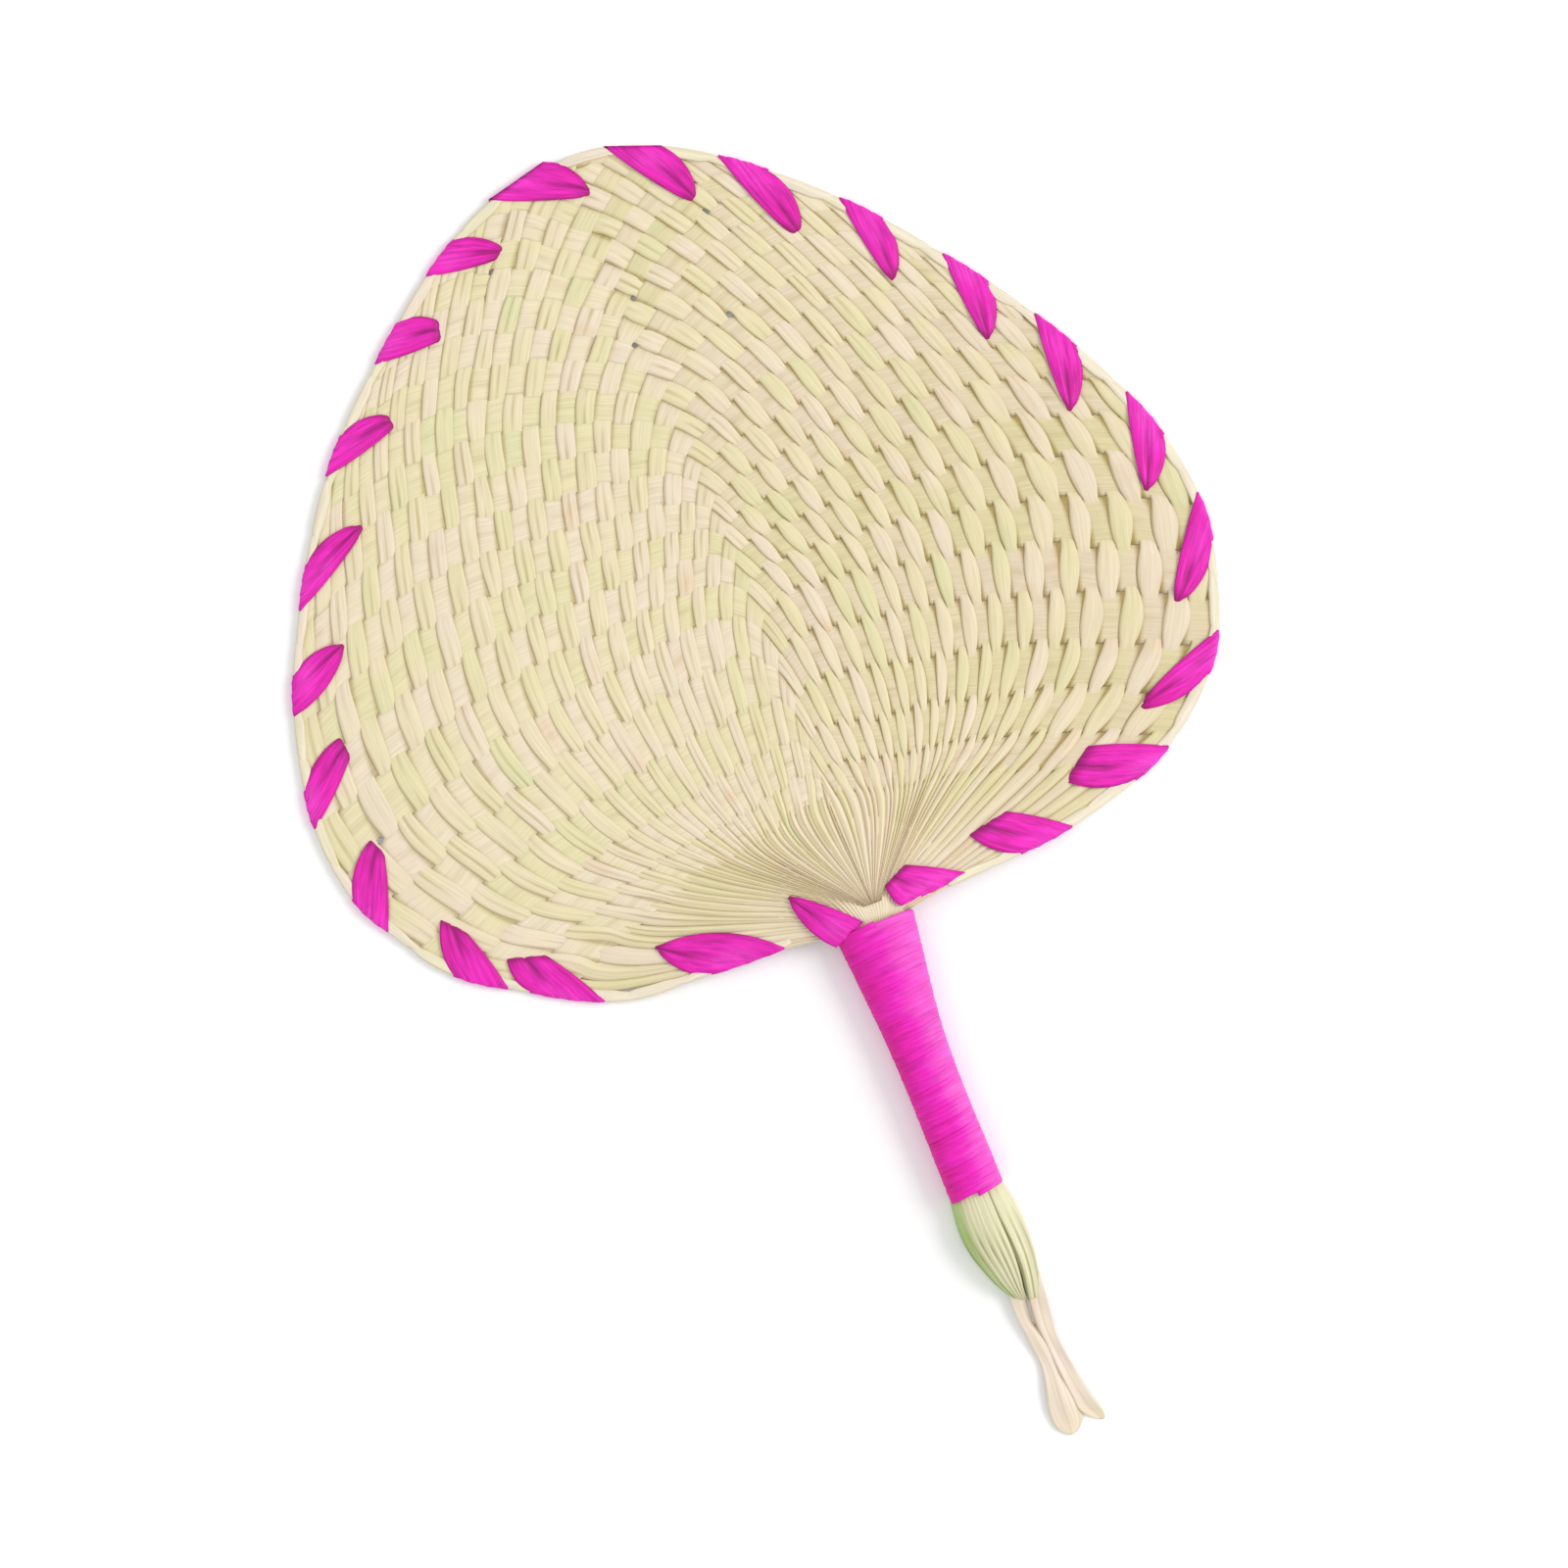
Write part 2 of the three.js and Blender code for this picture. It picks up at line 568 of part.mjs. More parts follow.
// Smallest distance between points of a wound strip that are at least skip rings apart
function leastGap(rings, skip) {
  const points = rings.map((r) => [...(r.upper ?? r), ...(r.lower ?? [])]);
  let least = Infinity;
  for (let a = 0; a < points.length; a += 1) {
    for (let b = a + skip; b < points.length; b += 1) {
      for (const p of points[a]) for (const q of points[b]) least = Math.min(least, p.distanceTo(q));
    }
  }
  return least;
}

// Middle and width of the run of a stitch over the rim
function rimContact([first, last]) {
  const edge = nearestRim((first[0] + last[0]) / 2, (first[1] + last[1]) / 2);
  return { edge, width: Math.hypot(last[0] - first[0], last[1] - first[1]) };
}

// From the grip over the front of the root into the first hole
function firstStitch(gap, side) {
  const from = { x: FIRST_STITCH_START[0], y: FIRST_STITCH_START[1] };
  const direction = holeDirection(gap, side);
  const inward = new THREE.Vector3(direction.y, -direction.x, 0);
  const flat = [0, 0.5, 0.85].map((t) => {
    const [x, y] = place(from, gap, t);
    const across = side.clone().lerp(direction, t).normalize();
    return ring(x, y, frontHeight(x, y), across, UP, FIRST_STITCH_WIDTH * (1 - t / 2), RAFFIA_THICKNESS);
  });
  const depth = bladeHeight(gap.x, gap.y) + HOLE_DEPTH;
  return [...flat, ring(gap.x, gap.y, depth, direction, inward, HOLE_RAFFIA_WIDTH, HOLE_RAFFIA_THICKNESS)];
}

// Over the rim beside the grip and in under the first turns of the winding
function lastStitch(edge) {
  const end = { x: LAST_STITCH_END[0], y: LAST_STITCH_END[1] };
  const flat = [0.5, 1].map((t) => {
    const [x, y] = place(edge, end, t);
    return ring(x, y, frontHeight(x, y), edge.tangent, UP, LAST_STITCH_WIDTH * (1 - t / 3), RAFFIA_THICKNESS);
  });
  return [...overRim(edge, LAST_STITCH_WIDTH), ...flat];
}

// One strip of raffia whipped round the rim from the left of the grip to the right of it
function rimStitching() {
  const contacts = STITCHES.map(rimContact);
  const lastEdge = nearestRim(...LAST_STITCH_RIM);
  const side = new THREE.Vector3(-1, 0, 0);
  const firstGap = nearestGap(...FIRST_STITCH_HOLE);
  const rings = [...firstStitch(firstGap, side), ...backRun(firstGap, contacts[0].edge, side)];
  STITCHES.forEach((corners, k) => {
    const { edge, width } = contacts[k];
    const [, , leading, trailing] = corners;
    const gap = nearestGap((leading[0] + trailing[0]) / 2, (leading[1] + trailing[1]) / 2);
    const nextEdge = k + 1 < STITCHES.length ? contacts[k + 1].edge : lastEdge;
    rings.push(...overRim(edge, width), ...frontRun(corners, gap, edge.tangent));
    rings.push(...backRun(gap, nextEdge, edge.tangent));
  });
  rings.push(...lastStitch(lastEdge));
  console.log("rim stitching, least gap to itself", leastGap(rings, 8).toFixed(2), "mm");
  return plate(rings.map((r) => r.upper), rings.map((r) => r.lower));
}

// Three readings along the grip joined by a smooth curve
function alongGrip(values, t) {
  return through([[0, values[0]], [GRIP_WAIST, values[1]], [1, values[2]]], clamp01(t));
}

// Point on the oval of the grip, shrunk inward by a depth
function gripPoint(t, turn, depth) {
  const halfWidth = alongGrip(GRIP_HALF_WIDTHS, t) - depth;
  const halfHeight = alongGrip(GRIP_HALF_HEIGHTS, t) - depth;
  const x = alongGrip(GRIP_CENTRES, t) + Math.cos(turn) * halfWidth;
  return [x, ROOT_HEIGHT + Math.sin(turn) * halfHeight];
}

// Bundle of leaf stalks inside the winding
function handleCore() {
  const facet = GRIP_HALF_WIDTHS[0] * (1 - Math.cos(Math.PI / GRIP_STEPS));
  const depth = WRAP_THICKNESS + CLEAR + facet;
  const rings = [];
  for (let r = 0; r < CORE_RINGS; r += 1) {
    const t = r / (CORE_RINGS - 1);
    const y = mix(BASE_NECK_Y - CLEAR, GRIP_END, t);
    const row = [];
    for (let k = 0; k < CORE_SIDES; k += 1) {
      const [x, z] = gripPoint(t, (2 * Math.PI * k) / CORE_SIDES, depth);
      row.push(new THREE.Vector3(x, y, z));
    }
    rings.push(row);
  }
  return loft(rings);
}

// Raffia wound round the handle in one unbroken strip with softened outer edges
function gripWrap() {
  const section = [
    [-0.5, 1], [-0.5, 0.35], [-0.25, 0], [0.25, 0], [0.5, 0.35], [0.5, 1],
  ];
  const steps = GRIP_LOOPS * GRIP_STEPS;
  const travel = GRIP_TOP - WRAP_WIDTH / 2 - (GRIP_END + WRAP_WIDTH / 2);
  const rings = [];
  for (let k = 0; k <= steps; k += 1) {
    const turn = (2 * Math.PI * k) / GRIP_STEPS + Math.PI / 2;
    const middle = GRIP_TOP - WRAP_WIDTH / 2 - (travel * k) / steps;
    rings.push(section.map(([across, depth]) => {
      const y = middle + across * WRAP_WIDTH;
      const t = (GRIP_TOP - middle) / (GRIP_TOP - GRIP_END);
      const [x, z] = gripPoint(t, turn, depth * WRAP_THICKNESS);
      return new THREE.Vector3(x, y, z);
    }));
  }
  console.log("grip winding, least gap to itself", leastGap(rings, 4).toFixed(2), "mm");
  return loft(rings);
}

// Folded leaf at the open end of the handle: flat below, round above
// Each station is [y, left x, right x, height]
function foldedLeaf(stations) {
  const arch = 10;
  return loft(stations.map(([y, left, right, height]) => {
    const middle = (left + right) / 2;
    const half = (right - left) / 2;
    const row = [new THREE.Vector3(left, y, 0), new THREE.Vector3(right, y, 0)];
    for (let k = 1; k <= arch; k += 1) {
      const turn = ((k - 0.5) / arch) * Math.PI;
      const lift = mix(FOLD_SIDE_SHARE, 1, Math.pow(Math.sin(turn), FOLD_ROUNDNESS));
      row.push(new THREE.Vector3(middle + Math.cos(turn) * half, y, height * lift));
    }
    return row;
  }));
}

const FOLD_LEFT = [
  [-91.4, -7.4, 7.4, 0.92], [-98, -8.2, 6.9, 1], [-105, -8.3, 6, 1], [-112, -6.9, 5.2, 0.94],
  [-118, -4.6, 4.4, 0.8], [-122, -2.5, 3.8, 0.6], [-125.6, -0.5, 2.7, 0.3],
];
const FOLD_RIGHT = [
  [-91.4, 7.8, 9, 0.62], [-98, 7.3, 10.4, 0.8], [-105, 6.4, 11.1, 0.95], [-112, 5.6, 10.9, 0.94],
  [-118, 4.8, 10.2, 0.8], [-123, 4, 9.5, 0.6], [-127.4, 4.3, 8.2, 0.3],
];

function scaled(stations, height) {
  return stations.map(([y, left, right, share]) => [y, left, right, share * height]);
}

// Flat tail of the leaf, cut from its outline
function tailPiece(outline) {
  const shape = new THREE.Shape();
  const [first, ...rest] = outline;
  shape.moveTo(...first);
  for (const segment of rest) {
    if (segment.length === 2) shape.lineTo(...segment);
    else shape.quadraticCurveTo(...segment);
  }
  shape.closePath();
  return new THREE.ExtrudeGeometry(shape, {
    depth: TAIL_THICKNESS, bevelEnabled: false, curveSegments: 5,
  });
}

// Outlines: a start, then straight points or curves given as control point and end point
const TAIL_LEFT = [
  [-1.4, -126.2], [2.4, -126.2], [3.2, -136, 4.6, -146], [6.0, -156, 6.3, -165.2],
  [4.2, -169.6, 0.7, -169], [-2.4, -164, -1.8, -157], [-1.2, -152, 0.5, -147.5], [-1.0, -136, -1.4, -126.2],
];
const TAIL_RIGHT = [
  [4.6, -128], [9.2, -128], [9.4, -134, 8.7, -139], [8.4, -146, 10.2, -154], [12.6, -161, 12.4, -168],
  [9.2, -168.4, 6.7, -165.2], [6.4, -156, 4.95, -146], [3.6, -136, 4.6, -128],
];

addLeaves();
add("leaf_base", leafBase(), STRAW[0], 0.75);
add("rim_stitching", rimStitching(), MAGENTA, 0.55);
add("handle_core", handleCore(), PALE_GREEN, 0.75);
add("grip_wrap", gripWrap(), MAGENTA, 0.5);
add("end_fold_left", foldedLeaf(scaled(FOLD_LEFT, FOLD_HEIGHT)), PALE_GREEN, 0.75);
add("end_fold_right", foldedLeaf(scaled(FOLD_RIGHT, FOLD_RIGHT_HEIGHT)), PALE_GREEN, 0.75);
add("tail_left", tailPiece(TAIL_LEFT), BEIGE, 0.8);
add("tail_right", tailPiece(TAIL_RIGHT), BEIGE, 0.8);

// Move the fan so that its box stands on z = 0 and is centred in x and y
const box = new THREE.Box3().setFromObject(fan);
const centre = box.getCenter(new THREE.Vector3());
for (const mesh of fan.children) mesh.geometry.translate(-centre.x, -centre.y, -box.min.z);
const size = box.getSize(new THREE.Vector3());
console.log("size", size.toArray().map((n) => n.toFixed(2)).join(" x "), "mm");
console.log("foot of the blade at", (-centre.x).toFixed(3), (-centre.y).toFixed(3), (-box.min.z).toFixed(3));

export default fan;
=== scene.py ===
import math
import bpy
import numpy as np
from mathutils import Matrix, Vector


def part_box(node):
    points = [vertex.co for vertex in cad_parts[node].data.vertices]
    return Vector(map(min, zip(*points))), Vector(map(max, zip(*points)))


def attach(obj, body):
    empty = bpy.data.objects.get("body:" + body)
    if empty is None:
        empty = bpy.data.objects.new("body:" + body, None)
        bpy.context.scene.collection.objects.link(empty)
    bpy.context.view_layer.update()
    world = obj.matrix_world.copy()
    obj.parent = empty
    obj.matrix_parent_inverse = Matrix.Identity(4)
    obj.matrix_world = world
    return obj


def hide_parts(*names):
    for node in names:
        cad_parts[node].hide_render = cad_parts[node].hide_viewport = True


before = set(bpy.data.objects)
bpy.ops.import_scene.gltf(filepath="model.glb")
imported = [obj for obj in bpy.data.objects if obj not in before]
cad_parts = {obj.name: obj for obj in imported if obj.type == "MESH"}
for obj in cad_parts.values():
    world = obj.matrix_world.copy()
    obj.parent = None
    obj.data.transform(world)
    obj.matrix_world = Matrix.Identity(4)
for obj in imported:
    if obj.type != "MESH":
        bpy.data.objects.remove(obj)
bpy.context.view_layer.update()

MM = 0.001
RNG = np.random.default_rng(11)

# Place of the fan: the foot of the blade is x = 0, y = 0 in the plan, in millimetres
GRIP_TOP = -5.9
base_low, base_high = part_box("leaf_base")
wrap_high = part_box("grip_wrap")[1]
SHIFT = np.array([(base_low[0] + base_high[0]) / 2, wrap_high[1] - GRIP_TOP * MM, 0.0])

# Camera straight above, turned as the fan lies in the picture, where a pixel shows PICTURE_PITCH of the fan
PICTURE_PITCH = 0.293
PICTURE_SIZE = 1600
PICTURE_TURN = math.radians(-20.55)
VIEW_CENTRE = (-10.46, 43.02)
BLADE_LEVEL = 3.0
LENS = 85
SENSOR_WIDTH = 36

cam_data = bpy.data.cameras.new("camera")
cam_data.lens = LENS
cam_data.sensor_width = SENSOR_WIDTH
camera = bpy.data.objects.new("camera", cam_data)
bpy.context.scene.collection.objects.link(camera)
distance = PICTURE_PITCH * PICTURE_SIZE * MM * LENS / SENSOR_WIDTH
view_x, view_y = (VIEW_CENTRE[k] * MM + SHIFT[k] for k in (0, 1))
camera.location = (view_x, view_y, distance + BLADE_LEVEL * MM)
camera.rotation_euler = (0, 0, PICTURE_TURN)
bpy.context.scene.camera = camera

# Weave plan, close to that of the CAD source but with the real number of strips
LEAVES = 34
ROWS = 22.0
CAD_LEAVES = 24
CAD_ROWS = 15.5
WIDEST_LANE = (CAD_LEAVES + 0.5) / CAD_ROWS
# Strips start at the neck row and meet the other half from the open row on
NECK_ROW = -1.0
OPEN_ROW = 0.5

# Height of the middle of the blade, and the distances from the foot between which it drops
ROOT_HEIGHT = 6.7
RIM_HEIGHT = 1.45
DROP = (15.0, 95.0)

# Rim of the blade, read from the left side of the root over the top to the right side of the root
RIM_LEFT = [
    (-24.5, -2.8), (-50, -2.4), (-77, -1), (-106, 13), (-125, 26), (-136, 42), (-143, 55),
    (-146.5, 75), (-144.5, 97), (-137.5, 122), (-127.5, 143), (-113, 168), (-98, 187),
    (-78, 206), (-54, 225), (-30, 237.5)]
RIM_TOP = (0, 241)
RIM_RIGHT = [
    (20, 235.5), (39, 224.5), (67, 201), (90, 174.5), (110, 147), (127, 116), (134, 95),
    (136, 74), (131.5, 52), (126, 38), (117, 26), (98, 11.5), (70, 2), (45, -1.4), (24.5, -2.8)]
RIM_STEPS = 60

# Heights on the axis at which the two halves meet, against the share of rows passed
AXIS_HEIGHTS = np.array([(0, 27), (0.1, 46), (0.29, 99), (0.44, 129), (1, 240)], float)
# Share of the rim at which a row reaches it, as a quadratic of the share of rows
ROW_REACH = (0.16, 0.856, -0.016)
# Share of rows from which strips begin to end on the upper rim
FIRST_FREE_ROW = 0.4
# Half the crossing angle on the axis, in degrees: low, middle and top of the blade
CROSSING_ANGLES = (6, 25, 47)
ANGLE_GROWTH = ((0, 0.33), (0.3, 0.6))
# Run of a row beside the axis and at the rim, lowest and highest row, in degrees above the level
ROW_SLOPE_AXIS = (-29, 35)
ROW_SLOPE_RIM = (-23, -33)
# Width of all lanes at the pitch found beside the axis and at the rim, low and high on the blade
LANE_RUN_AXIS = (101, 141)
LANE_RUN_RIM = (169, 118)
AXIS_RUN_CHANGE = (0.2, 0.8)
RIM_RUN_CHANGE = (0.3, 0.8)
# Share of all rows in which a row turns level beside the axis, and where this turn dies out
TURN_SHARE = 0.075
TURN_FADE = (0.45, 0.85)

# Mouth of the grip: the inner strips dive into its throat, the outermost at its corners
THROAT_SHARE = 0.72
THROAT_HALF_WIDTH = 3.4
THROAT_PLACE = (1.5, 0.5)
CORNERS_OUT = 7.0
CORNERS_DOWN = 5.7
# Strips beside the axis enter the weave upright. The pull is the strength of the end slope there
UPRIGHT_LANES = (0.5, 2.5)
ENTRY_PULL = 0.7

# The middle line of the weave strays to the left toward the top: height and how far. This fades toward
# both sides, and between two heights the top of the blade is fitted to the rim again
STRAY = np.array([(0, 0), (60, 0), (110, -1), (150, -3.5), (180, -6), (210, -6.5), (241, -6)], float)
STRAY_HALF_WIDTH = 138
STRAY_FIT = (20, 120)

# The root is thick out to a distance from its foot, thins out over the next, and is thinner at its sides
NECK_REACH = 6
NECK_FADE = 22
NECK_HALF_THICKNESS = 4.2
NECK_ROUNDNESS = 0.85


def mix(a, b, t):
    return a + (b - a) * t


def ease(low, high, x):
    t = np.clip((np.asarray(x, float) - low) / (high - low), 0, 1)
    return t * t * (3 - 2 * t)


def grid(*parts):
    """Points or coordinates from parts that are values, rows, columns or whole grids."""
    return np.stack(np.broadcast_arrays(*parts), -1)


def hermite(t, a, va, b, vb):
    """Cubic from a to b with end slopes va and vb."""
    t2 = t * t
    t3 = t2 * t
    return (2 * t3 - 3 * t2 + 1) * a + (t3 - 2 * t2 + t) * va + (3 * t2 - 2 * t3) * b + (t3 - t2) * vb


def through(points, x):
    """Smooth curve through a few readings, for a whole array."""
    px, py = points.T
    gap = np.diff(px)
    rise = np.diff(py) / gap
    slope = np.r_[rise[0], (rise[:-1] * gap[1:] + rise[1:] * gap[:-1]) / (gap[:-1] + gap[1:]), rise[-1]]
    x = np.asarray(x, float)
    k = np.clip(np.searchsorted(px, x, side="right") - 1, 0, len(px) - 2)
    run = gap[k]
    t = (x - px[k]) / run
    return hermite(t, py[k], run * slope[k], py[k + 1], run * slope[k + 1])


def readings(stations, x):
    """Smooth readings at x from the further columns of a table whose first column is x."""
    table = stations[np.argsort(stations[:, 0])]
    return [through(table[:, (0, k)], x) for k in range(1, table.shape[1])]


def centripetal(points, steps):
    """Catmull-Rom curve with centripetal spacing through the points."""
    p = np.array(points, float)
    p = np.vstack([2 * p[0] - p[1], p, 2 * p[-1] - p[-2]])
    run = np.diff(p, axis=0)
    gap = np.maximum(1e-6, np.linalg.norm(run, axis=1) ** 0.5)[:, None]
    pace = run / gap
    slope = pace[:-1] - (p[2:] - p[:-2]) / (gap[:-1] + gap[1:]) + pace[1:]
    t = np.arange(steps)[:, None] / steps
    out = [hermite(t, p[k], slope[k - 1] * gap[k], p[k + 1], slope[k] * gap[k]) for k in range(1, len(p) - 2)]
    return np.vstack([*out, p[-2]])


RIM = centripetal(RIM_LEFT + [RIM_TOP] + RIM_RIGHT, RIM_STEPS)
RIM_ALONG = np.r_[0, np.cumsum(np.hypot(*np.diff(RIM, axis=0).T))]
RIM_LENGTH = RIM_ALONG[-1]
LEFT_LENGTH = RIM_ALONG[len(RIM_LEFT) * RIM_STEPS]
UPPER_RIM = RIM[np.argmin(RIM[:, 0]):np.argmax(RIM[:, 0]) + 1]


def rim_place(along):
    return np.array([np.interp(along, RIM_ALONG, values) for values in RIM.T])


def rim_at(along):
    """Point and outward direction of the rim at a length along it."""
    step = 1.0
    dx, dy = rim_place(along + step) - rim_place(along - step)
    size = np.hypot(dx, dy) + 1e-9
    return *rim_place(along), -dy / size, dx / size


def rim_near(x, y):
    """Length along the rim at its point nearest to a place."""
    return RIM_ALONG[np.argmin(np.hypot(*(RIM - (x, y)).T))]


def rim_share(side, share):
    """Point of the rim on one side, at a share of the way from the root to the top."""
    share = np.clip(share, 0, 1)
    return rim_place(share * LEFT_LENGTH if side < 0 else RIM_LENGTH - share * (RIM_LENGTH - LEFT_LENGTH))


def lane_limit(v):
    """Widest lane that a row reaches before it meets the rim."""
    x = np.clip((v - FIRST_FREE_ROW) / (1 - FIRST_FREE_ROW), 0, 1)
    return 1 + (WIDEST_LANE - 1) * (1 - x * x)


def row_limit(u):
    """Row at which a lane meets the rim, the inverse of lane_limit."""
    x = np.sqrt(np.clip(1 - (u - 1) / (WIDEST_LANE - 1), 0, 1))
    return FIRST_FREE_ROW + (1 - FIRST_FREE_ROW) * x


def row_point(side, u, v):
    """Where lane u crosses row v, which leaves the axis, turns level and runs out to the rim."""
    step = 1e-4
    run = np.maximum(lane_limit(v) - v, step)
    rise = (through(AXIS_HEIGHTS, v + step) - through(AXIS_HEIGHTS, v - step)) / (4 * step)
    low, middle, high = CROSSING_ANGLES
    first_growth, second_growth = (ease(*growth, v) for growth in ANGLE_GROWTH)
    angle = np.radians(low + (middle - low) * first_growth + (high - middle) * second_growth)
    slope = np.radians(mix(*ROW_SLOPE_AXIS, v))
    pace = mix(*LANE_RUN_AXIS, ease(*AXIS_RUN_CHANGE, v))
    turn = 1 - ease(*TURN_FADE, v)
    bx = (side * rise * np.tan(angle) - side * pace * np.cos(slope)) * turn
    by = (rise - pace * np.sin(slope)) * turn
    sx = side * rise * np.tan(angle) - bx
    sy = rise - by
    ex, ey = rim_share(side, ROW_REACH[0] + ROW_REACH[1] * v + ROW_REACH[2] * v * v)
    rim_slope = np.radians(mix(*ROW_SLOPE_RIM, v))
    rim_pace = mix(*LANE_RUN_RIM, ease(*RIM_RUN_CHANGE, v))
    t = (u - v) / run
    at_end = TURN_SHARE * np.exp(-run / TURN_SHARE)
    here = TURN_SHARE * np.exp(-np.maximum(u - v, 0) / TURN_SHARE)
    x = hermite(t, TURN_SHARE * bx, sx * run, ex + at_end * bx, side * np.cos(rim_slope) * rim_pace * run)
    y = hermite(t, through(AXIS_HEIGHTS, v) + TURN_SHARE * by, sy * run,
                ey + at_end * by, np.sin(rim_slope) * rim_pace * run)
    return x - here * bx, y - here * by


def neck_point(side, across):
    """Where a strip dives into the mouth of the grip."""
    outer = ease(THROAT_SHARE, 1.0, across)
    out = THROAT_HALF_WIDTH * np.minimum(1, across / THROAT_SHARE) + CORNERS_OUT * outer
    return side * out + THROAT_PLACE[0] * (1 - outer), THROAT_PLACE[1] - CORNERS_DOWN * outer


def lane_point(side, lane, row):
    """Point on a lane in strip counts: row -1 is the neck, whole rows from 1 on are crossings."""
    step = 0.01
    lane, row = np.broadcast_arrays(np.asarray(lane, float), np.asarray(row, float))
    wx, wy = row_point(side, lane / ROWS, np.maximum(row, OPEN_ROW) / ROWS)
    kx, ky = neck_point(side, lane / (LEAVES + 0.5))
    ex, ey = row_point(side, lane / ROWS, OPEN_ROW / ROWS)
    # direction in which the strip enters the weave
    beside = np.maximum(lane, OPEN_ROW + 2 * step) / ROWS
    sx, sy = row_point(side, beside, OPEN_ROW / ROWS)
    nx, ny = row_point(side, beside, (OPEN_ROW + step) / ROWS)
    nx = sx + (nx - sx) * ease(*UPRIGHT_LANES, lane)
    size = np.hypot(nx - sx, ny - sy)
    reach = np.hypot(ex - kx, ey - ky)
    t = np.clip((row - NECK_ROW) / (OPEN_ROW - NECK_ROW), 0, 1)
    hx = hermite(t, kx, ex - kx, ex, (nx - sx) / size * reach * ENTRY_PULL)
    hy = hermite(t, ky, ey - ky, ey, (ny - sy) / size * reach * ENTRY_PULL)
    return np.where(row >= OPEN_ROW, wx, hx), np.where(row >= OPEN_ROW, wy, hy)


def fabric_point(p, q):
    """Place of a point of the weave in the plan, from its lane numbers in the left and the right family."""
    lx, ly = lane_point(-1, p, np.minimum(q, p))
    rx, ry = lane_point(1, q, np.minimum(p, q))
    left = p >= q
    x, y = np.where(left, lx, rx), np.where(left, ly, ry)
    # the stray slides along the rim and keeps its outline
    beside = np.clip(1 - (x / STRAY_HALF_WIDTH) ** 2, 0, 1) ** 2
    moved = x + through(STRAY, np.clip(y, 0, RIM_TOP[1])) * beside
    top, moved_top = (np.interp(v, UPPER_RIM[:, 0], UPPER_RIM[:, 1]) for v in (x, moved))
    return moved, y * mix(1, moved_top / top, ease(*STRAY_FIT, y))


def blade_height(x, y):
    """Height of the middle of the blade above the table."""
    return mix(ROOT_HEIGHT, RIM_HEIGHT, ease(*DROP, np.hypot(x, y)))


def nearness(x, y):
    """One at the neck of the root and nought where the blade is thin."""
    return 1 - np.clip((np.hypot(x, y) - NECK_REACH) / NECK_FADE, 0, 1)


def strip_end(edge):
    """Place at which a lane ends on the rim, in crossings along it."""
    edge = np.asarray(edge, float)
    return np.where(edge < ROWS, lane_limit(edge / ROWS), row_limit(edge / ROWS)) * ROWS


# Least height of a point above the table
LOWEST = 0.02


def plate_faces(rows, columns):
    """Faces of a closed plate whose upper grid comes first and whose lower grid follows."""
    top = np.arange(rows * columns).reshape(rows, columns)
    low = top + top.size
    sides = [
        (top[:-1, :-1], top[:-1, 1:], top[1:, 1:], top[1:, :-1]),
        (low[1:, :-1], low[1:, 1:], low[:-1, 1:], low[:-1, :-1]),
        (top[:-1, 0], top[1:, 0], low[1:, 0], low[:-1, 0]),
        (top[1:, -1], top[:-1, -1], low[:-1, -1], low[1:, -1]),
        (top[0, 1:], top[0, :-1], low[0, :-1], low[0, 1:]),
        (top[-1, :-1], top[-1, 1:], low[-1, 1:], low[-1, :-1])]
    return np.vstack([grid(*side).reshape(-1, 4) for side in sides])


def outward_faces(points, faces):
    """The same faces, turned over if they enclose a negative volume."""
    p = points[faces] - points.mean(0)
    one = np.einsum("ij,ij->i", p[:, 0], np.cross(p[:, 1], p[:, 2]))
    two = np.einsum("ij,ij->i", p[:, 0], np.cross(p[:, 2], p[:, 3]))
    return faces[:, ::-1] if (one + two).sum() < 0 else faces


class Build:
    """Closed plates of one piece with their texture coordinates, shade and tint."""

    def __init__(self):
        self.points, self.faces, self.uv, self.shade, self.tint = [], [], [], [], []
        self.count = 0

    def plate(self, upper, lower, uv, shade, tint=0.5):
        rows, columns = upper.shape[:2]
        both = np.concatenate([upper.reshape(-1, 3), lower.reshape(-1, 3)])
        both[:, 2] = np.maximum(both[:, 2], LOWEST)
        self.points.append(both)
        self.faces.append(outward_faces(both, plate_faces(rows, columns)) + self.count)
        self.uv.append(np.tile(uv.reshape(-1, 2), (2, 1)))
        for store, values in ((self.shade, shade), (self.tint, tint)):
            flat = np.clip(np.broadcast_to(values, (rows, columns)), 0, 1).reshape(-1)
            store.append(np.tile(flat, 2))
        self.count += len(both)

    def piece(self, name, material, nodes, slot):
        points = np.vstack(self.points) * MM + SHIFT
        faces = np.vstack(self.faces)
        mesh = bpy.data.meshes.new(name)
        mesh.from_pydata(points.tolist(), [], faces.tolist(), shade_flat=False)
        uv = mesh.uv_layers.new(name="fibre")
        uv.data.foreach_set("uv", np.vstack(self.uv)[faces.ravel()].astype(np.float32).ravel())
        for label, values in (("shade", self.shade), ("tint", self.tint)):
            layer = mesh.attributes.new(label, "FLOAT", "POINT")
            layer.data.foreach_set("value", np.concatenate(values).astype(np.float32))
        mesh.validate()
        mesh.materials.append(material)
        piece = bpy.data.objects.new(name, mesh)
        bpy.context.scene.collection.objects.link(piece)
        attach(piece, "root")
        if nodes:
            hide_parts(*nodes)


# Materials: how far the hue wanders, and the noise between dark and light fibres
PATCH_SHARE = 0.6
PATCHES_PER_METRE = 70.0
FIBRE_NOISE = (0.32, 0.62)
FIBRE_LIGHT = 1.04
FIBRE_DEPTH = 0.0003
GLOSS = 0.3


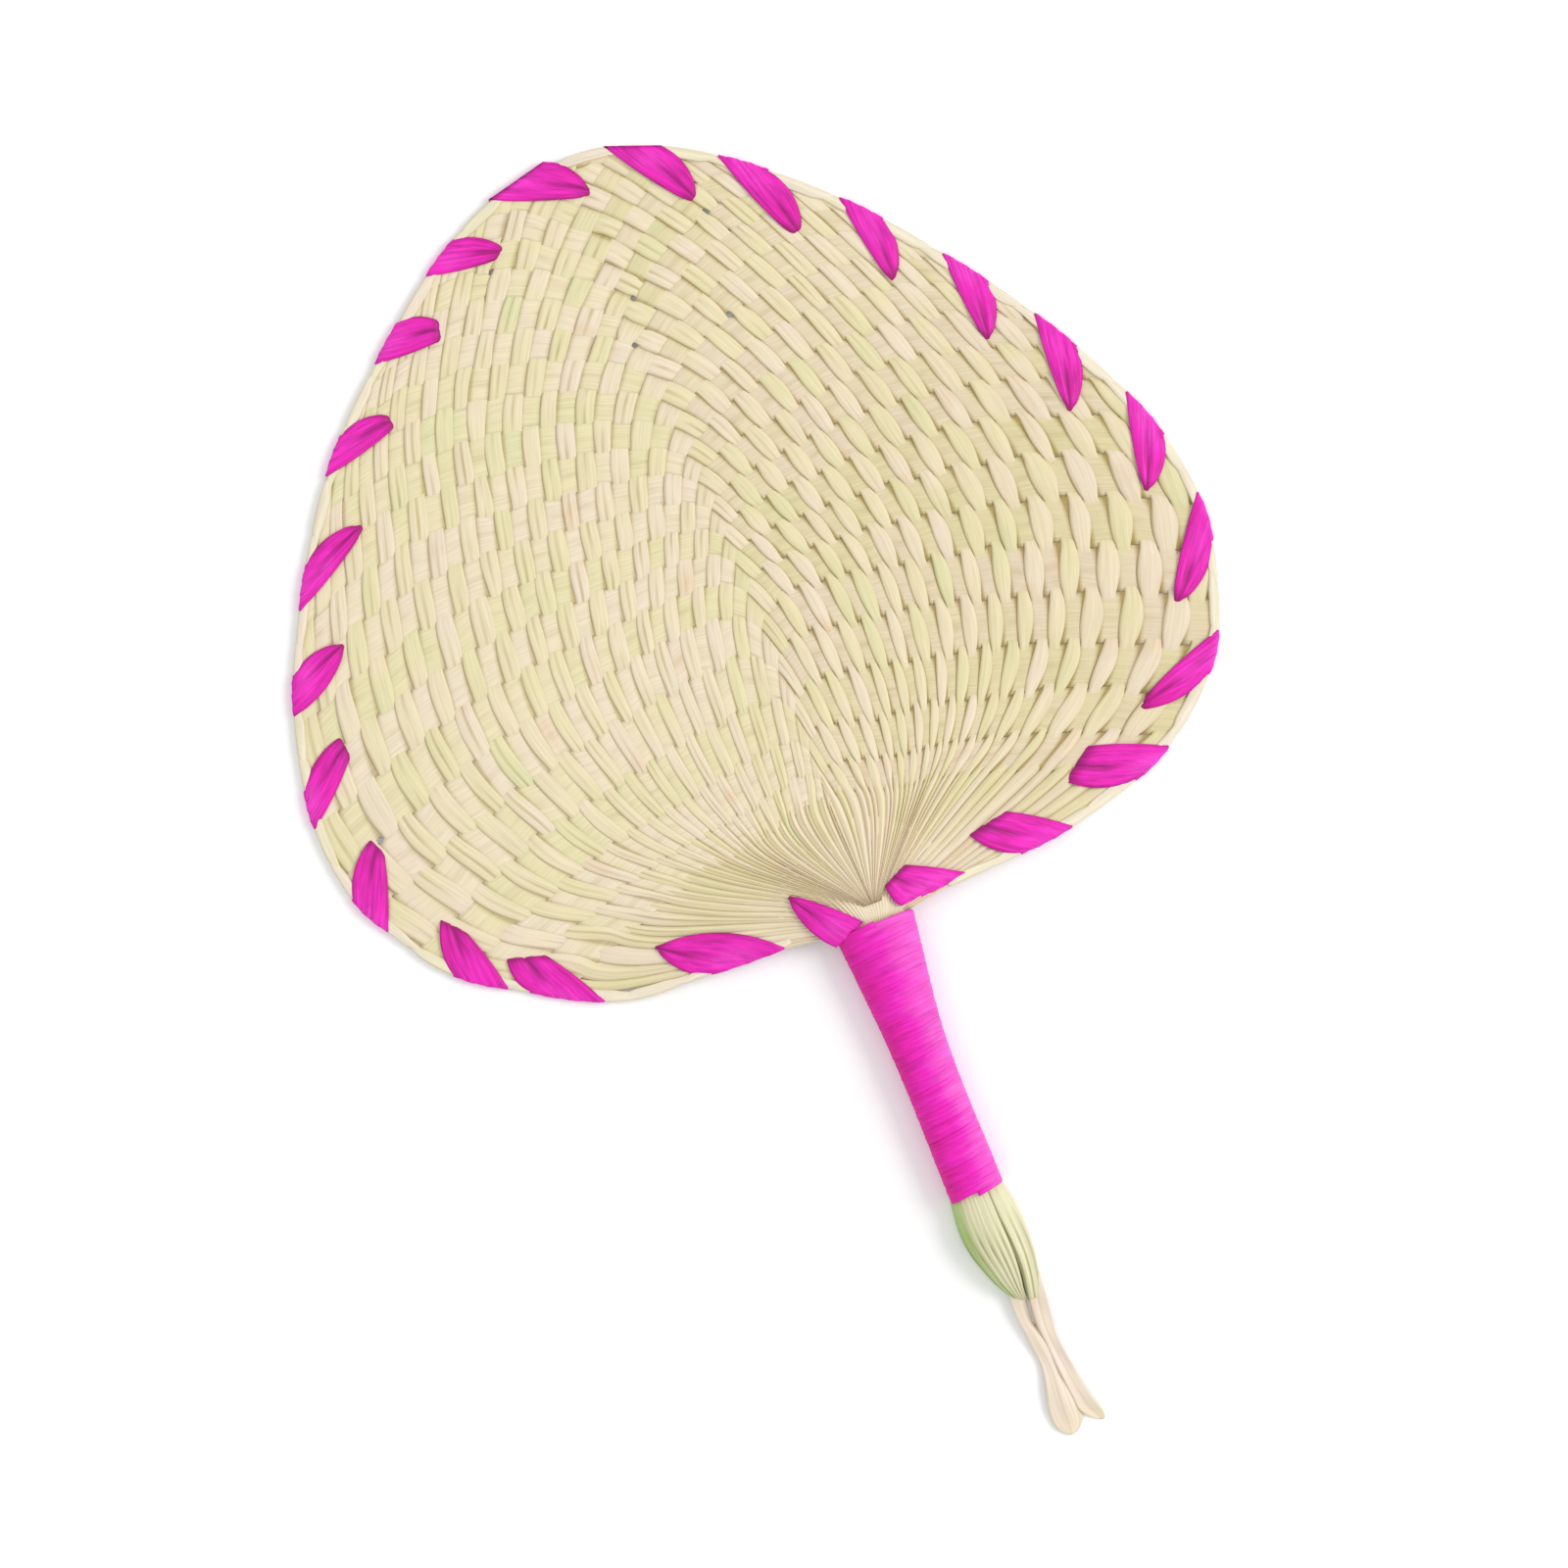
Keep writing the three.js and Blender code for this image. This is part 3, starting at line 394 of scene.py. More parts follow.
def add_node(tree, kind, *given, **named):
    """New shader node with values or links for its inputs, in order or by name, and with its settings."""
    made = tree.nodes.new(kind)
    for key, value in (*enumerate(given), *named.items()):
        if isinstance(key, str) and key not in made.inputs:
            setattr(made, key, value)
        elif isinstance(value, bpy.types.NodeSocket):
            tree.links.new(value, made.inputs[key])
        else:
            made.inputs[key].default_value = value
    return made


def leaf_material(name, ramp, rough, fibre_scale, bump, painted_shade_factors, fibre_dark):
    """Dried leaf or raffia: fibres along the piece, a hue that wanders, and painted shade where the shade
    attribute is low.

    ramp holds the colours from tint 0 to 1, painted_shade_factors the colour factors in full painted shade,
    fibre_dark that of dark fibres.
    """
    mat = bpy.data.materials.new(name)
    mat.use_nodes = True
    tree = mat.node_tree

    def multiply(colour, other):
        return add_node(tree, "ShaderNodeMixRGB", 1.0, colour, other, blend_type="MULTIPLY").outputs["Color"]

    def noise(place, scale):
        texture = add_node(tree, "ShaderNodeTexNoise", Vector=place, Scale=scale, Detail=3.0, Roughness=0.6)
        return texture.outputs["Fac"]

    uv = add_node(tree, "ShaderNodeUVMap", uv_map="fibre")
    place = add_node(tree, "ShaderNodeTexCoord")
    stretch = add_node(tree, "ShaderNodeMapping", Vector=uv.outputs["UV"], Scale=(*fibre_scale, 1))
    fibres = noise(stretch.outputs["Vector"], 1.0)
    patches = noise(place.outputs["Object"], PATCHES_PER_METRE)
    shade, tint = (add_node(tree, "ShaderNodeAttribute", attribute_name=label).outputs["Fac"]
                   for label in ("shade", "tint"))

    drift = add_node(tree, "ShaderNodeMath", patches, PATCH_SHARE, -PATCH_SHARE / 2, operation="MULTIPLY_ADD")
    hue = add_node(tree, "ShaderNodeMath", tint, drift.outputs["Value"], operation="ADD")
    colours = add_node(tree, "ShaderNodeValToRGB", hue.outputs["Value"])
    stops = colours.color_ramp.elements
    stops.remove(stops[-1])
    for position, colour in ramp:
        stop = stops.new(position) if position else stops[0]
        stop.color = (*colour, 1)

    lines = add_node(tree, "ShaderNodeMapRange", fibres, *FIBRE_NOISE, fibre_dark, FIBRE_LIGHT)
    lit = multiply(colours.outputs["Color"], lines.outputs["Result"])
    # painted shade: the colour falls toward its shaded copy as the shade attribute drops
    final = add_node(tree, "ShaderNodeMixRGB", shade, multiply(lit, (*painted_shade_factors, 1)), lit, blend_type="MIX")
    relief = add_node(tree, "ShaderNodeBump", Strength=bump, Distance=FIBRE_DEPTH, Height=fibres)
    bsdf = tree.nodes["Principled BSDF"]
    bsdf.inputs["Roughness"].default_value = rough
    bsdf.inputs["Specular IOR Level"].default_value = GLOSS
    tree.links.new(final.outputs["Color"], bsdf.inputs["Base Color"])
    tree.links.new(relief.outputs["Normal"], bsdf.inputs["Normal"])
    return mat


STRAW = leaf_material(
    "straw_leaf",
    [(0.0, (0.75, 0.735, 0.44)), (0.25, (0.80, 0.725, 0.44)), (0.5, (0.84, 0.735, 0.51)),
     (0.75, (0.85, 0.735, 0.57)), (1.0, (0.81, 0.61, 0.39))],
    rough=0.55, fibre_scale=(1.6, 0.06), bump=0.3, painted_shade_factors=(0.50, 0.42, 0.22), fibre_dark=0.90)
STRAW_RIM = leaf_material(
    "straw_rim", [(0.0, (0.84, 0.78, 0.54)), (0.5, (0.88, 0.80, 0.62)), (1.0, (0.88, 0.76, 0.62))],
    rough=0.5, fibre_scale=(1.4, 0.05), bump=0.3, painted_shade_factors=(0.56, 0.46, 0.28), fibre_dark=0.86)
ROOT = leaf_material(
    "root_leaf", [(0.0, (0.84, 0.74, 0.48)), (0.5, (0.93, 0.83, 0.60)), (1.0, (0.94, 0.80, 0.60))],
    rough=0.6, fibre_scale=(1.6, 0.06), bump=0.4, painted_shade_factors=(0.44, 0.32, 0.16), fibre_dark=0.8)
RAFFIA = leaf_material(
    "dyed_raffia", [(0.0, (0.77, 0.006, 0.37)), (0.5, (0.92, 0.019, 0.54)), (1.0, (0.97, 0.085, 0.66))],
    rough=0.5, fibre_scale=(0.95, 0.09), bump=0.7, painted_shade_factors=(0.42, 0.25, 0.34), fibre_dark=0.60)
WRAP = leaf_material(
    "dyed_raffia_wound", [(0.0, (0.82, 0.003, 0.32)), (0.5, (0.95, 0.015, 0.58)), (1.0, (1.0, 0.15, 0.68))],
    rough=0.55, fibre_scale=(1.3, 0.12), bump=0.8, painted_shade_factors=(0.42, 0.28, 0.36), fibre_dark=0.76)
GREEN = leaf_material(
    "green_leaf",
    [(0.0, (0.42, 0.58, 0.18)), (0.3, (0.62, 0.68, 0.34)), (0.6, (0.76, 0.74, 0.46)),
     (1.0, (0.82, 0.76, 0.54))],
    rough=0.5, fibre_scale=(1.3, 0.03), bump=0.5, painted_shade_factors=(0.34, 0.36, 0.15), fibre_dark=0.76)
CORE = leaf_material(
    "stalk_leaf", [(0.0, (0.90, 0.80, 0.56)), (1.0, (0.92, 0.84, 0.66))],
    rough=0.6, fibre_scale=(1, 1), bump=0.2, painted_shade_factors=(1, 1, 1), fibre_dark=0.9)
TAIL = leaf_material(
    "dry_leaf", [(0.0, (0.84, 0.72, 0.52)), (0.5, (0.86, 0.74, 0.58)), (1.0, (0.87, 0.74, 0.62))],
    rough=0.6, fibre_scale=(1.4, 0.03), bump=0.4, painted_shade_factors=(0.50, 0.40, 0.26), fibre_dark=0.86)


# Woven strips: points across and for each crossing, and places along the run from the neck to the weave
COLUMNS = 9
PER_CROSSING = 10
OPEN_STATIONS = 24
LEAF_THICKNESS = 0.16

# Corners where the weave gapes a little, and the share of their width that the strips beside them lose
GAPES = ((-2.4, 191.4, 0.24), (-7.0, 185.6, 0.24), (23.2, 181.2, 0.24), (29.2, 207.1, 0.24),
         (-35.8, 219.8, 0.22), (-130.8, 67.6, 0.13))
GAPE_LENGTH = 0.22
CORNERS = grid(*np.meshgrid(np.arange(1.5, LEAVES), np.arange(1.5, LEAVES))).reshape(-1, 2)
CORNER_PLACES = grid(*fabric_point(*CORNERS.T))
HOLES = [(*CORNERS[np.argmin(np.hypot(*(CORNER_PLACES - (x, y)).T))], gape) for x, y, gape in GAPES]

# Waver of the borders between strips: size and pace of a long and a short wave, unevenness of the pleats,
# and the outer strips that lie loose on the left
WAVER = RNG.normal(0, 1, (2, LEAVES + 1, 5))
LONG_WAVE = (0.05, 0.5)
SHORT_WAVE = (0.045, 1.7)
PLEAT_WAVER = 0.30
PLEAT_WAVER_END = (0.2, 2.0)
LOOSE_WAVE = (0.22, 3.1)
LOOSE_BORDERS = (22, 30)

# Rows over which the weaving starts, half the rows of the change at the axis, and rows fitted to the rim
WOVEN_START = (0.3, 1.0)
AXIS_HALF_BLEND = 0.6
END_FIT = 1.5
# Tongues grow over these crossings from the axis and shrink to a share toward the top of the blade
TONGUE_GROWTH = (0.3, 3.5)
TOP_TONGUE = 0.15
TONGUE_SHRINK = (0.28, 0.7)
WAVE_POWER = 0.8
# Half widths in strips. A tongue's: waist, gain on top and gain underneath, in the left and right half
CLOSE_HALF_WIDTH = 0.495
CROSS_HALF_WIDTH = 0.498
TONGUE_HALF_WIDTHS = ((0.46, 0.08, 0.03), (0.36, 0.23, 0.06))
TONGUE_LEAN = (0.08, 0.10)
# Rise over and under: beside the axis, of tongues and of the strips that cross them
CLOSE_RISE = 0.22
TONGUE_RISE = (0.26, 0.50)
CROSS_RISE = 0.17
# Crown across a strip, where it dives and what it gains on top, and the shares of its two powers
CROSS_CROWN = 0.04
CLOSE_ARCH = 0.22
CROSS_ARCH = (0.30, 0.85)
TONGUE_CROWN = 0.08
TONGUE_ARCH = (0.10, 0.26)
CROWN_SHARES = (0.4, 0.6)
# Pleats at the root: where they end, how high they are and what is left of them in the neck
PLEAT_END = (0.2, 1.6)
PLEAT_HEIGHTS = (0.5, 0.9)
NECK_PLEAT_SHARE = 0.35
# Texture in millimetres: least width of a strip, and steps between strips and halves
LEAST_BREADTH = 2.5
STRIP_STEP = 13.7
SIDE_STEP = 311
# Shade. The lines along a strip differ in strength from knot to knot
KNOT_STEP = 0.8
LINE_STRENGTHS = (0.25, 1.0)
EDGE_LINE = 0.10
LEE_LINE = (0.65, 0.90)
TONGUE_LIGHT = (0.88, 1.0)
TONGUE_LIGHT_WAVE = (-0.6, 0.0)
CROSS_DARK = (0.35, 0.1)
CROSS_LIGHT = (0.98, 0.84)
CROSS_LIGHT_WAVE = (-0.3, 0.7)
# Painted shade line of the midrib crease on crossing and on flat strips, and what tongues on the right lose
# of it
CROSS_RIB_SHADE = 0.25
FLAT_RIB_SHADE = 0.75
TONGUE_RIB_SHADE_LOSS = 0.6
RIB_SHADE_WIDTH = 0.16
# Painted shade in the valleys between the pleats, and painted light that falls off to the right on the lower
# blade
PLEAT_LIGHT = 0.98
VALLEY_SHADE = (0.05, 0.45)
NECK_VALLEY_SHADE_SHARE = 0.4
FALL_OFF = ((0.04, -60, 0), (0.06, 0, 70))
FALL_OFF_END = (120, 200)
# Tint of a strip, how it wanders, and the pinkish neck
BASE_TINTS = (0.25, 0.70)
TINT_SPREAD = 0.10
TINT_LIMITS = (0.05, 0.85)
NECK_TINT = 0.80
NECK_TINT_SHARE = 0.75
NECK_TINT_END = (-0.9, 0.2)


def border_at(side, border, w):
    """Place of a border between two strips, in strips. It strays a little from its even place."""
    if border in (0, LEAVES):
        return np.full_like(w, border + 0.5)
    a, b, c, d, e = WAVER[0 if side < 0 else 1, border]
    weave = (LONG_WAVE[0] * a * np.sin(w * LONG_WAVE[1] + b * 3)
             + SHORT_WAVE[0] * c * np.sin(w * SHORT_WAVE[1] + d * 3))
    loose = LOOSE_WAVE[0] * np.sin(w * LOOSE_WAVE[1] + a * 4) * ease(*LOOSE_BORDERS, border) * (side < 0)
    root = (PLEAT_WAVER * np.clip(e, -1, 1) + loose) * (1 - ease(*PLEAT_WAVER_END, w))
    return border + 0.5 + weave * ease(NECK_ROW, OPEN_ROW, w) + root


class Strip:
    """One strip of leaf from the neck to the rim, as rows of points at places w, counted in crossings.

    own is one in the strip's own half of the blade, relief in the right half. tongue grows with the distance
    from the axis. wave is one where the strip lies on top and minus one where it lies below.
    """

    def __init__(self, side, index):
        self.side, self.index = side, index
        ends = strip_end(index + np.array([-0.5, 0, 0.5]))
        self.last = float(max(ends))
        self.settle = max(OPEN_ROW, float(min(ends)) - END_FIT)
        woven = np.linspace(OPEN_ROW, self.last, max(3, int((self.last - OPEN_ROW) * PER_CROSSING)))
        self.w = w = np.r_[np.linspace(NECK_ROW, OPEN_ROW, OPEN_STATIONS, endpoint=False), woven]
        self.in_neck = np.clip(-w, 0, 1)
        self.knots = np.arange(-2, self.last + 2, KNOT_STEP)
        self.across = np.linspace(-1, 1, COLUMNS)[None]
        self.square = self.across ** 2
        self.fourth = self.square * self.square
        self.woven = ease(*WOVEN_START, w)
        self.own = 1 - ease(index - AXIS_HALF_BLEND, index + AXIS_HALF_BLEND, w)
        self.relief = self.own if side > 0 else 1 - self.own
        shrink = ease(*TONGUE_SHRINK, np.minimum(w, index) / ROWS)
        self.tongue = ease(*TONGUE_GROWTH, np.abs(w - index)) * mix(1, TOP_TONGUE, shrink)
        wave = np.where(w < OPEN_ROW, 0.0, np.cos(np.pi * (w + index)))
        self.wave = np.sign(wave) * np.abs(wave) ** WAVE_POWER * (-side)
        self.high = 0.5 + 0.5 * self.wave

    def edges(self):
        """Lane numbers across the strip, whose tongues are narrow at the waist and lean outward."""
        side, index, w = self.side, self.index, self.w
        over, under = np.maximum(self.wave, 0), np.maximum(-self.wave, 0)
        tongues = (waist + top * over + low * under for waist, top, low in TONGUE_HALF_WIDTHS)
        own_half = mix(CLOSE_HALF_WIDTH, mix(*tongues, self.relief), self.tongue)
        half = mix(0.5, mix(CROSS_HALF_WIDTH, own_half, self.own), self.woven)
        near_border, far_border = border_at(side, index - 1, w), border_at(side, index, w)
        half = np.where(w < OPEN_ROW, 0.5, half) * (far_border - near_border)
        for left, right, gape in HOLES:
            lane, row = (left, right) if side < 0 else (right, left)
            if abs(index - lane) < 1:
                half = half * (1 - gape * np.exp(-((w - row) / GAPE_LENGTH) ** 2))
        lean = -side * np.sin(np.pi * (w + index)) * mix(*TONGUE_LEAN, self.relief)
        centre = (near_border + far_border) / 2 + lean * self.tongue * self.own * self.woven
        return centre[:, None] + self.across * half[:, None]

    def plan(self):
        """Places of the points in the plan, with the end of the strip fitted to the rim."""
        edge = self.edges()
        along = np.repeat(self.w[:, None], COLUMNS, 1)
        ends = strip_end(np.clip(edge, 0, LEAVES + 0.6))
        settle = self.settle
        squeezed = settle + (along - settle) * (ends - settle) / max(1e-6, self.last - settle)
        along = np.where(along > settle, np.minimum(squeezed, ends), along)
        return fabric_point(edge, along) if self.side < 0 else fabric_point(along, edge)

    def height(self, x, y):
        """Height of the upper surface: over and under, crowned across and pleated at the root."""
        tongue_rise = mix(CLOSE_RISE, mix(*TONGUE_RISE, self.relief), self.tongue)
        rise = mix(mix(CLOSE_RISE, CROSS_RISE, self.tongue), tongue_rise, self.own) * self.woven
        cross_crown = CROSS_CROWN + mix(CLOSE_ARCH, mix(*CROSS_ARCH, self.relief), self.tongue) * self.high
        tongue_crown = TONGUE_CROWN + mix(*TONGUE_ARCH, self.relief) * self.high * self.tongue
        crown = mix(cross_crown, tongue_crown, self.own) * self.woven
        pleat = (1 - ease(*PLEAT_END, self.w)) * mix(*PLEAT_HEIGHTS, RNG.uniform())
        pleat = pleat * mix(1, NECK_PLEAT_SHARE, self.in_neck)
        share = self.index / (LEAVES + 0.5)
        neck = NECK_HALF_THICKNESS * math.sqrt(max(0.05, 1 - NECK_ROUNDNESS * share * share))
        z = blade_height(x, y) + (rise * self.wave)[:, None]
        z = z - crown[:, None] * (CROWN_SHARES[0] * self.square + CROWN_SHARES[1] * self.fourth)
        z = z + pleat[:, None] * (0.5 - np.abs(self.across))
        return z + neck * nearness(x, y)

    def texture(self, upper):
        """Texture coordinates in millimetres across and along the strip."""
        middle = upper[:, COLUMNS // 2]
        length = np.r_[0, np.cumsum(np.linalg.norm(np.diff(middle, axis=0), axis=1))]
        breadth = np.maximum(np.linalg.norm(upper[:, -1] - upper[:, 0], axis=1), LEAST_BREADTH)
        u = self.across * 0.5 * breadth[:, None] + self.index * STRIP_STEP + self.side * SIDE_STEP
        return grid(u, length[:, None])

    def shade(self, x, y):
        """Shade of the surface, one in full light."""
        knots, relief = self.knots, self.relief
        # tongues have a dark line along their shaded side, crossing strips where they dive under them
        strength = np.interp(self.w, knots, RNG.uniform(*LINE_STRENGTHS, len(knots)))[:, None]
        lee = np.clip(0.5 - 0.5 * self.side * self.across, 0, 1)
        line = (EDGE_LINE + mix(*LEE_LINE, relief)[:, None] * lee * strength) * self.fourth
        tongue_shade = mix(*TONGUE_LIGHT, ease(*TONGUE_LIGHT_WAVE, self.wave))[:, None] - line
        cross_ease = ease(*CROSS_LIGHT_WAVE, self.wave)
        cross_shade = mix(mix(*CROSS_DARK, relief), mix(*CROSS_LIGHT, relief), cross_ease)[:, None]
        shade = mix(cross_shade, tongue_shade, self.own[:, None])
        # the midrib crease shows as a painted shade line along the strip where the strip lies flat
        faint = np.interp(self.w, knots, RNG.uniform(0, 1, len(knots)) ** 1.5)
        own_rib_shade = mix(FLAT_RIB_SHADE, FLAT_RIB_SHADE - TONGUE_RIB_SHADE_LOSS * self.tongue, relief)
        rib = (mix(CROSS_RIB_SHADE, own_rib_shade, self.own) * faint)[:, None] * np.exp(-(self.across / RIB_SHADE_WIDTH) ** 2)
        # painted shade in the valleys between the pleats, and painted light falling off to the right on the
        # lower blade
        valley = (VALLEY_SHADE[0] + VALLEY_SHADE[1] * strength) * np.abs(self.across) ** 3
        valley = valley * mix(1, NECK_VALLEY_SHADE_SHARE, self.in_neck)[:, None]
        shade = mix(PLEAT_LIGHT - valley, shade, self.woven[:, None]) - rib
        fall = sum(loss * ease(low, high, x) for loss, low, high in FALL_OFF)
        return shade - fall * (1 - ease(*FALL_OFF_END, y))

    def hue(self):
        """Tint along the strip."""
        base = RNG.uniform(*BASE_TINTS)
        tints = np.clip(base + RNG.normal(0, TINT_SPREAD, len(self.knots)), *TINT_LIMITS)
        neck = NECK_TINT_SHARE * (1 - ease(*NECK_TINT_END, self.w))
        return mix(np.interp(self.w, self.knots, tints), NECK_TINT, neck)[:, None]

    def add_to(self, build):
        x, y = self.plan()
        upper = grid(x, y, self.height(x, y))
        uv = self.texture(upper)
        shade = self.shade(x, y)
        build.plate(upper, upper - (0, 0, LEAF_THICKNESS), uv, shade, self.hue())


def cad_strip(index):
    """Number of the CAD strip in whose place a strip lies."""
    return min(CAD_LEAVES, max(1, round(index * (CAD_LEAVES + 0.5) / (LEAVES + 0.5))))


def add_strips():
    for side, word in ((-1, "left"), (1, "right")):
        for number in range(1, CAD_LEAVES + 1):
            build = Build()
            for index in range(1, LEAVES + 1):
                if cad_strip(index) == number:
                    Strip(side, index).add_to(build)
            build.piece(f"strip_{word}_{number:02d}", STRAW, [f"leaf_{word}_{number:02d}"], "straw")


# Pleated root under the strips, from the neck to a little past the edge of the CAD's root
ROOT_RADIUS = 27.0
BASE_HALF_SPREAD = 92.0
ROOT_NECK_HALF_WIDTH = 10.2
ROOT_NECK_Y = -5.6
ROOT_EDGE_HALF_THICKNESS = 0.55
ROOT_RINGS = 12
PLEATS = 2 * LEAVES
COLUMNS_PER_PLEAT = 4
ROOT_PLEAT_HEIGHTS = (0.02, 0.4)
# The upper side lies this far under the strips, and the texture is this wide on each side of the axis
ROOT_DROP = 0.55
ROOT_TEXTURE = 60


def add_root():
    k = np.linspace(-1, 1, PLEATS * COLUMNS_PER_PLEAT + 1)
    t = np.linspace(0, 1, ROOT_RINGS)[:, None]
    turn = k * math.radians(BASE_HALF_SPREAD)
    x = mix(k * ROOT_NECK_HALF_WIDTH, np.sin(turn) * ROOT_RADIUS, t)
    y = mix(ROOT_NECK_Y, np.cos(turn) * ROOT_RADIUS, t)
    neck = NECK_HALF_THICKNESS * np.sqrt(1 - NECK_ROUNDNESS * k * k)
    half = mix(neck, ROOT_EDGE_HALF_THICKNESS, t ** 0.8)
    ripple = np.cos(np.pi * PLEATS * (k + 1) / 2)
    pleat = ripple * mix(*ROOT_PLEAT_HEIGHTS, t)
    z = blade_height(x, y)
    upper = grid(x, y, z + neck * nearness(x, y) - ROOT_DROP + pleat)
    lower = grid(x, y, z - half - pleat * 0.9)
    shade = mix(0.95, 0.35 + 0.6 * (0.5 + 0.5 * ripple), ease(0.1, 0.4, t))
    build = Build()
    build.plate(upper, lower, grid(k * ROOT_TEXTURE, np.hypot(x, y)), shade)
    build.piece("root_pleats", ROOT, ["leaf_base"], "straw")


# Leaf ends turned over and laid along the rim. Each reaches past the start of the next one
TURNED_PITCH = 17.0
TURNED_LENGTHS = (1.5, 1.9)
TURNED_START = -4
TURNED_RINGS = 22
TURNED_COLUMNS = 9
TIP_WIDTH = 0.7
TURNED_WIDTHS = (2.7, 3.5)
TURNED_TINTS = (0.1, 0.9)
# Distance of the outer edge inside the rim: at the start, along the run, and what the tip adds
TURNED_INSET = (1.4, -0.25, 1.0)
# Half thickness at the tip and midway, and what every second one has more
TURNED_HALF_THICKNESS = (0.55, 0.80, 0.05)
RIM_MARGIN = 0.5


def add_rim_folds():
    count = int(RIM_LENGTH / TURNED_PITCH)
    build = Build()
    t = np.linspace(0, 1, TURNED_RINGS)
    turn = np.linspace(0, math.pi, TURNED_COLUMNS)[None]
    taper = ease(0, 0.35, t) * (1 - ease(0.6, 1.0, t))
    root_inset, inset, tip_inset = TURNED_INSET
    tip_half, half, next_half = TURNED_HALF_THICKNESS
    outer = mix(root_inset, inset, ease(0, 0.3, t)) + mix(0, tip_inset, ease(0.75, 1, t))
    for k in range(count):
        length = TURNED_PITCH * RNG.uniform(*TURNED_LENGTHS)
        along = k * RIM_LENGTH / count + TURNED_START + t * length
        x, y, nx, ny = rim_at(np.clip(along, RIM_MARGIN, RIM_LENGTH - RIM_MARGIN))
        width = mix(TIP_WIDTH, RNG.uniform(*TURNED_WIDTHS), taper)
        offset = -outer[:, None] - width[:, None] / 2 * (1 - np.cos(turn))
        px = x[:, None] + nx[:, None] * offset
        py = y[:, None] + ny[:, None] * offset
        rise = mix(tip_half, half, taper) + next_half * (k % 2)
        arch = rise[:, None] * (0.45 + 0.55 * np.sin(turn) ** 0.6)
        height = blade_height(x, y)[:, None]
        u = np.linspace(-1.8, 1.8, TURNED_COLUMNS) + k * 9.1
        shade = 0.55 + 0.42 * np.sin(turn) ** 0.7
        build.plate(grid(px, py, height + arch), grid(px, py, height - arch), grid(u, (t * length)[:, None]),
                    shade, float(RNG.uniform(*TURNED_TINTS)))
    build.piece("rim_turned_ends", STRAW_RIM, [], "straw")


# Raffia round the rim. Each stitch on the front by x and y of four corners: where it comes over the rim and
# where it leaves it, then the leading and the trailing corner of its end at the hole. A ninth value is the
# bow of its near side, where that isn't NEAR_BOW
STITCHES = [
    (-27.4, -1.3, -52.5, -0.7, -63.9, 10.2, -62.7, 11.3, 0.15),
    (-82.8, 2.1, -104.5, 13.2, -106.5, 23.2, -95, 19.8),
    (-109, 14.8, -123, 26.4, -121, 41, -115, 34.8),
    (-137.7, 42.7, -143, 57.7, -132.4, 70.8, -129.8, 65.3),
    (-146, 79.7, -144.2, 92.5, -130.2, 102.8, -129.2, 96),
    (-138.8, 113.1, -135.7, 125.8, -120.2, 129.3, -119, 127.2, 0.12),
    (-126.8, 141.8, -120.6, 155.7, -102.6, 160.8, -101.6, 158.2),
    (-107.4, 177.9, -97.6, 188.7, -82.9, 188.3, -82.3, 183.6),
    (-81.3, 203.7, -68.7, 213.2, -58.6, 209.2, -60.2, 203.3),
    (-57.3, 222.9, -44.7, 230.8, -32.7, 223.1, -36.5, 220),
    (-31.9, 237.6, -12.6, 242.5, -2.5, 231.5, -3.2, 227.9),
    (6, 240.5, 22.2, 234.7, 27.4, 217.7, 24.1, 215.9),
    (36.8, 225.3, 51.5, 216.5, 53.3, 197.1, 49.1, 196.2),
    (66.8, 201.8, 77.7, 189.7, 75, 173.9, 72, 172.7),
    (89.3, 175, 100, 160.6, 94.6, 146.3, 92.3, 146.8),
    (107.9, 147.9, 116.3, 132.5, 110, 117.3, 107.9, 118.4),
    (123.4, 115.6, 130.8, 98.9, 123, 86.8, 121, 88.2),
    (134.3, 81.2, 134.1, 65.1, 120.2, 52.2, 117.6, 53.8),
    (126.9, 40.7, 120.1, 27.5, 96.9, 26.4, 100.8, 30.1),
    (100.9, 14.1, 87.2, 6.9, 68.8, 14, 78.6, 21.8),
    (65.6, 2.4, 47, 0.6, 36, 9.3, 48.7, 12.2),
    (30.8, -0.5, 9.9, -3.4, 7.0, 4.2, 14.9, 7.9)]
FIRST_BAND = (-2.6, -3.6, -13.0, -8.0, -21.6, 10.4, -20.2, 11.4)
RAFFIA_COLUMNS = 15
RAFFIA_THICKNESS = 0.28
UP = np.array([0.0, 0.0, 1.0])
BESIDE_GRIP_OUT = (0.12, -1.0, 0.0)
# Height over the middle of the blade and depth under it, with what is added at the neck
FRONT_RISE = (0.80, 3.9)
BACK_DEPTH = (0.85, 3.4)
# Outward bow of the two sides of a stitch, as a share of its length
NEAR_BOW = 0.03
FAR_BOW = 0.095
# Share by which a stitch narrows at a narrow hole, and the hole widths between which this fades
HOLE_PINCH = 0.4
WIDE_HOLE = (2.5, 6)
# Depth of the dive into the hole, and two levels inside it
HOLE_DIVE = 0.9
HOLE_LEVELS = (0.2, 0.6)
HOLE_AHEAD = 0.3
# Share of its front at which a stitch starts, and share of the rim that it takes up
STITCH_START = 0.10
RIM_TAKEN = 0.92
# Round the rim: degrees up and down, reach past the rim and half height
RIM_TURN = 75
RIM_REACH = 0.85
RIM_INSET = 0.35
RIM_HALF_HEIGHT = 1.05
# Fold along a stitch: its place across from -1 to 1, and the crease and its painted shade line
CREASE_PLACE = 0.15
CREASE_WIDTH = 0.17
CREASE_DEPTH = 0.55
CREASE_SHADE_WIDTH = 0.16
CREASE_SHADE = 0.9


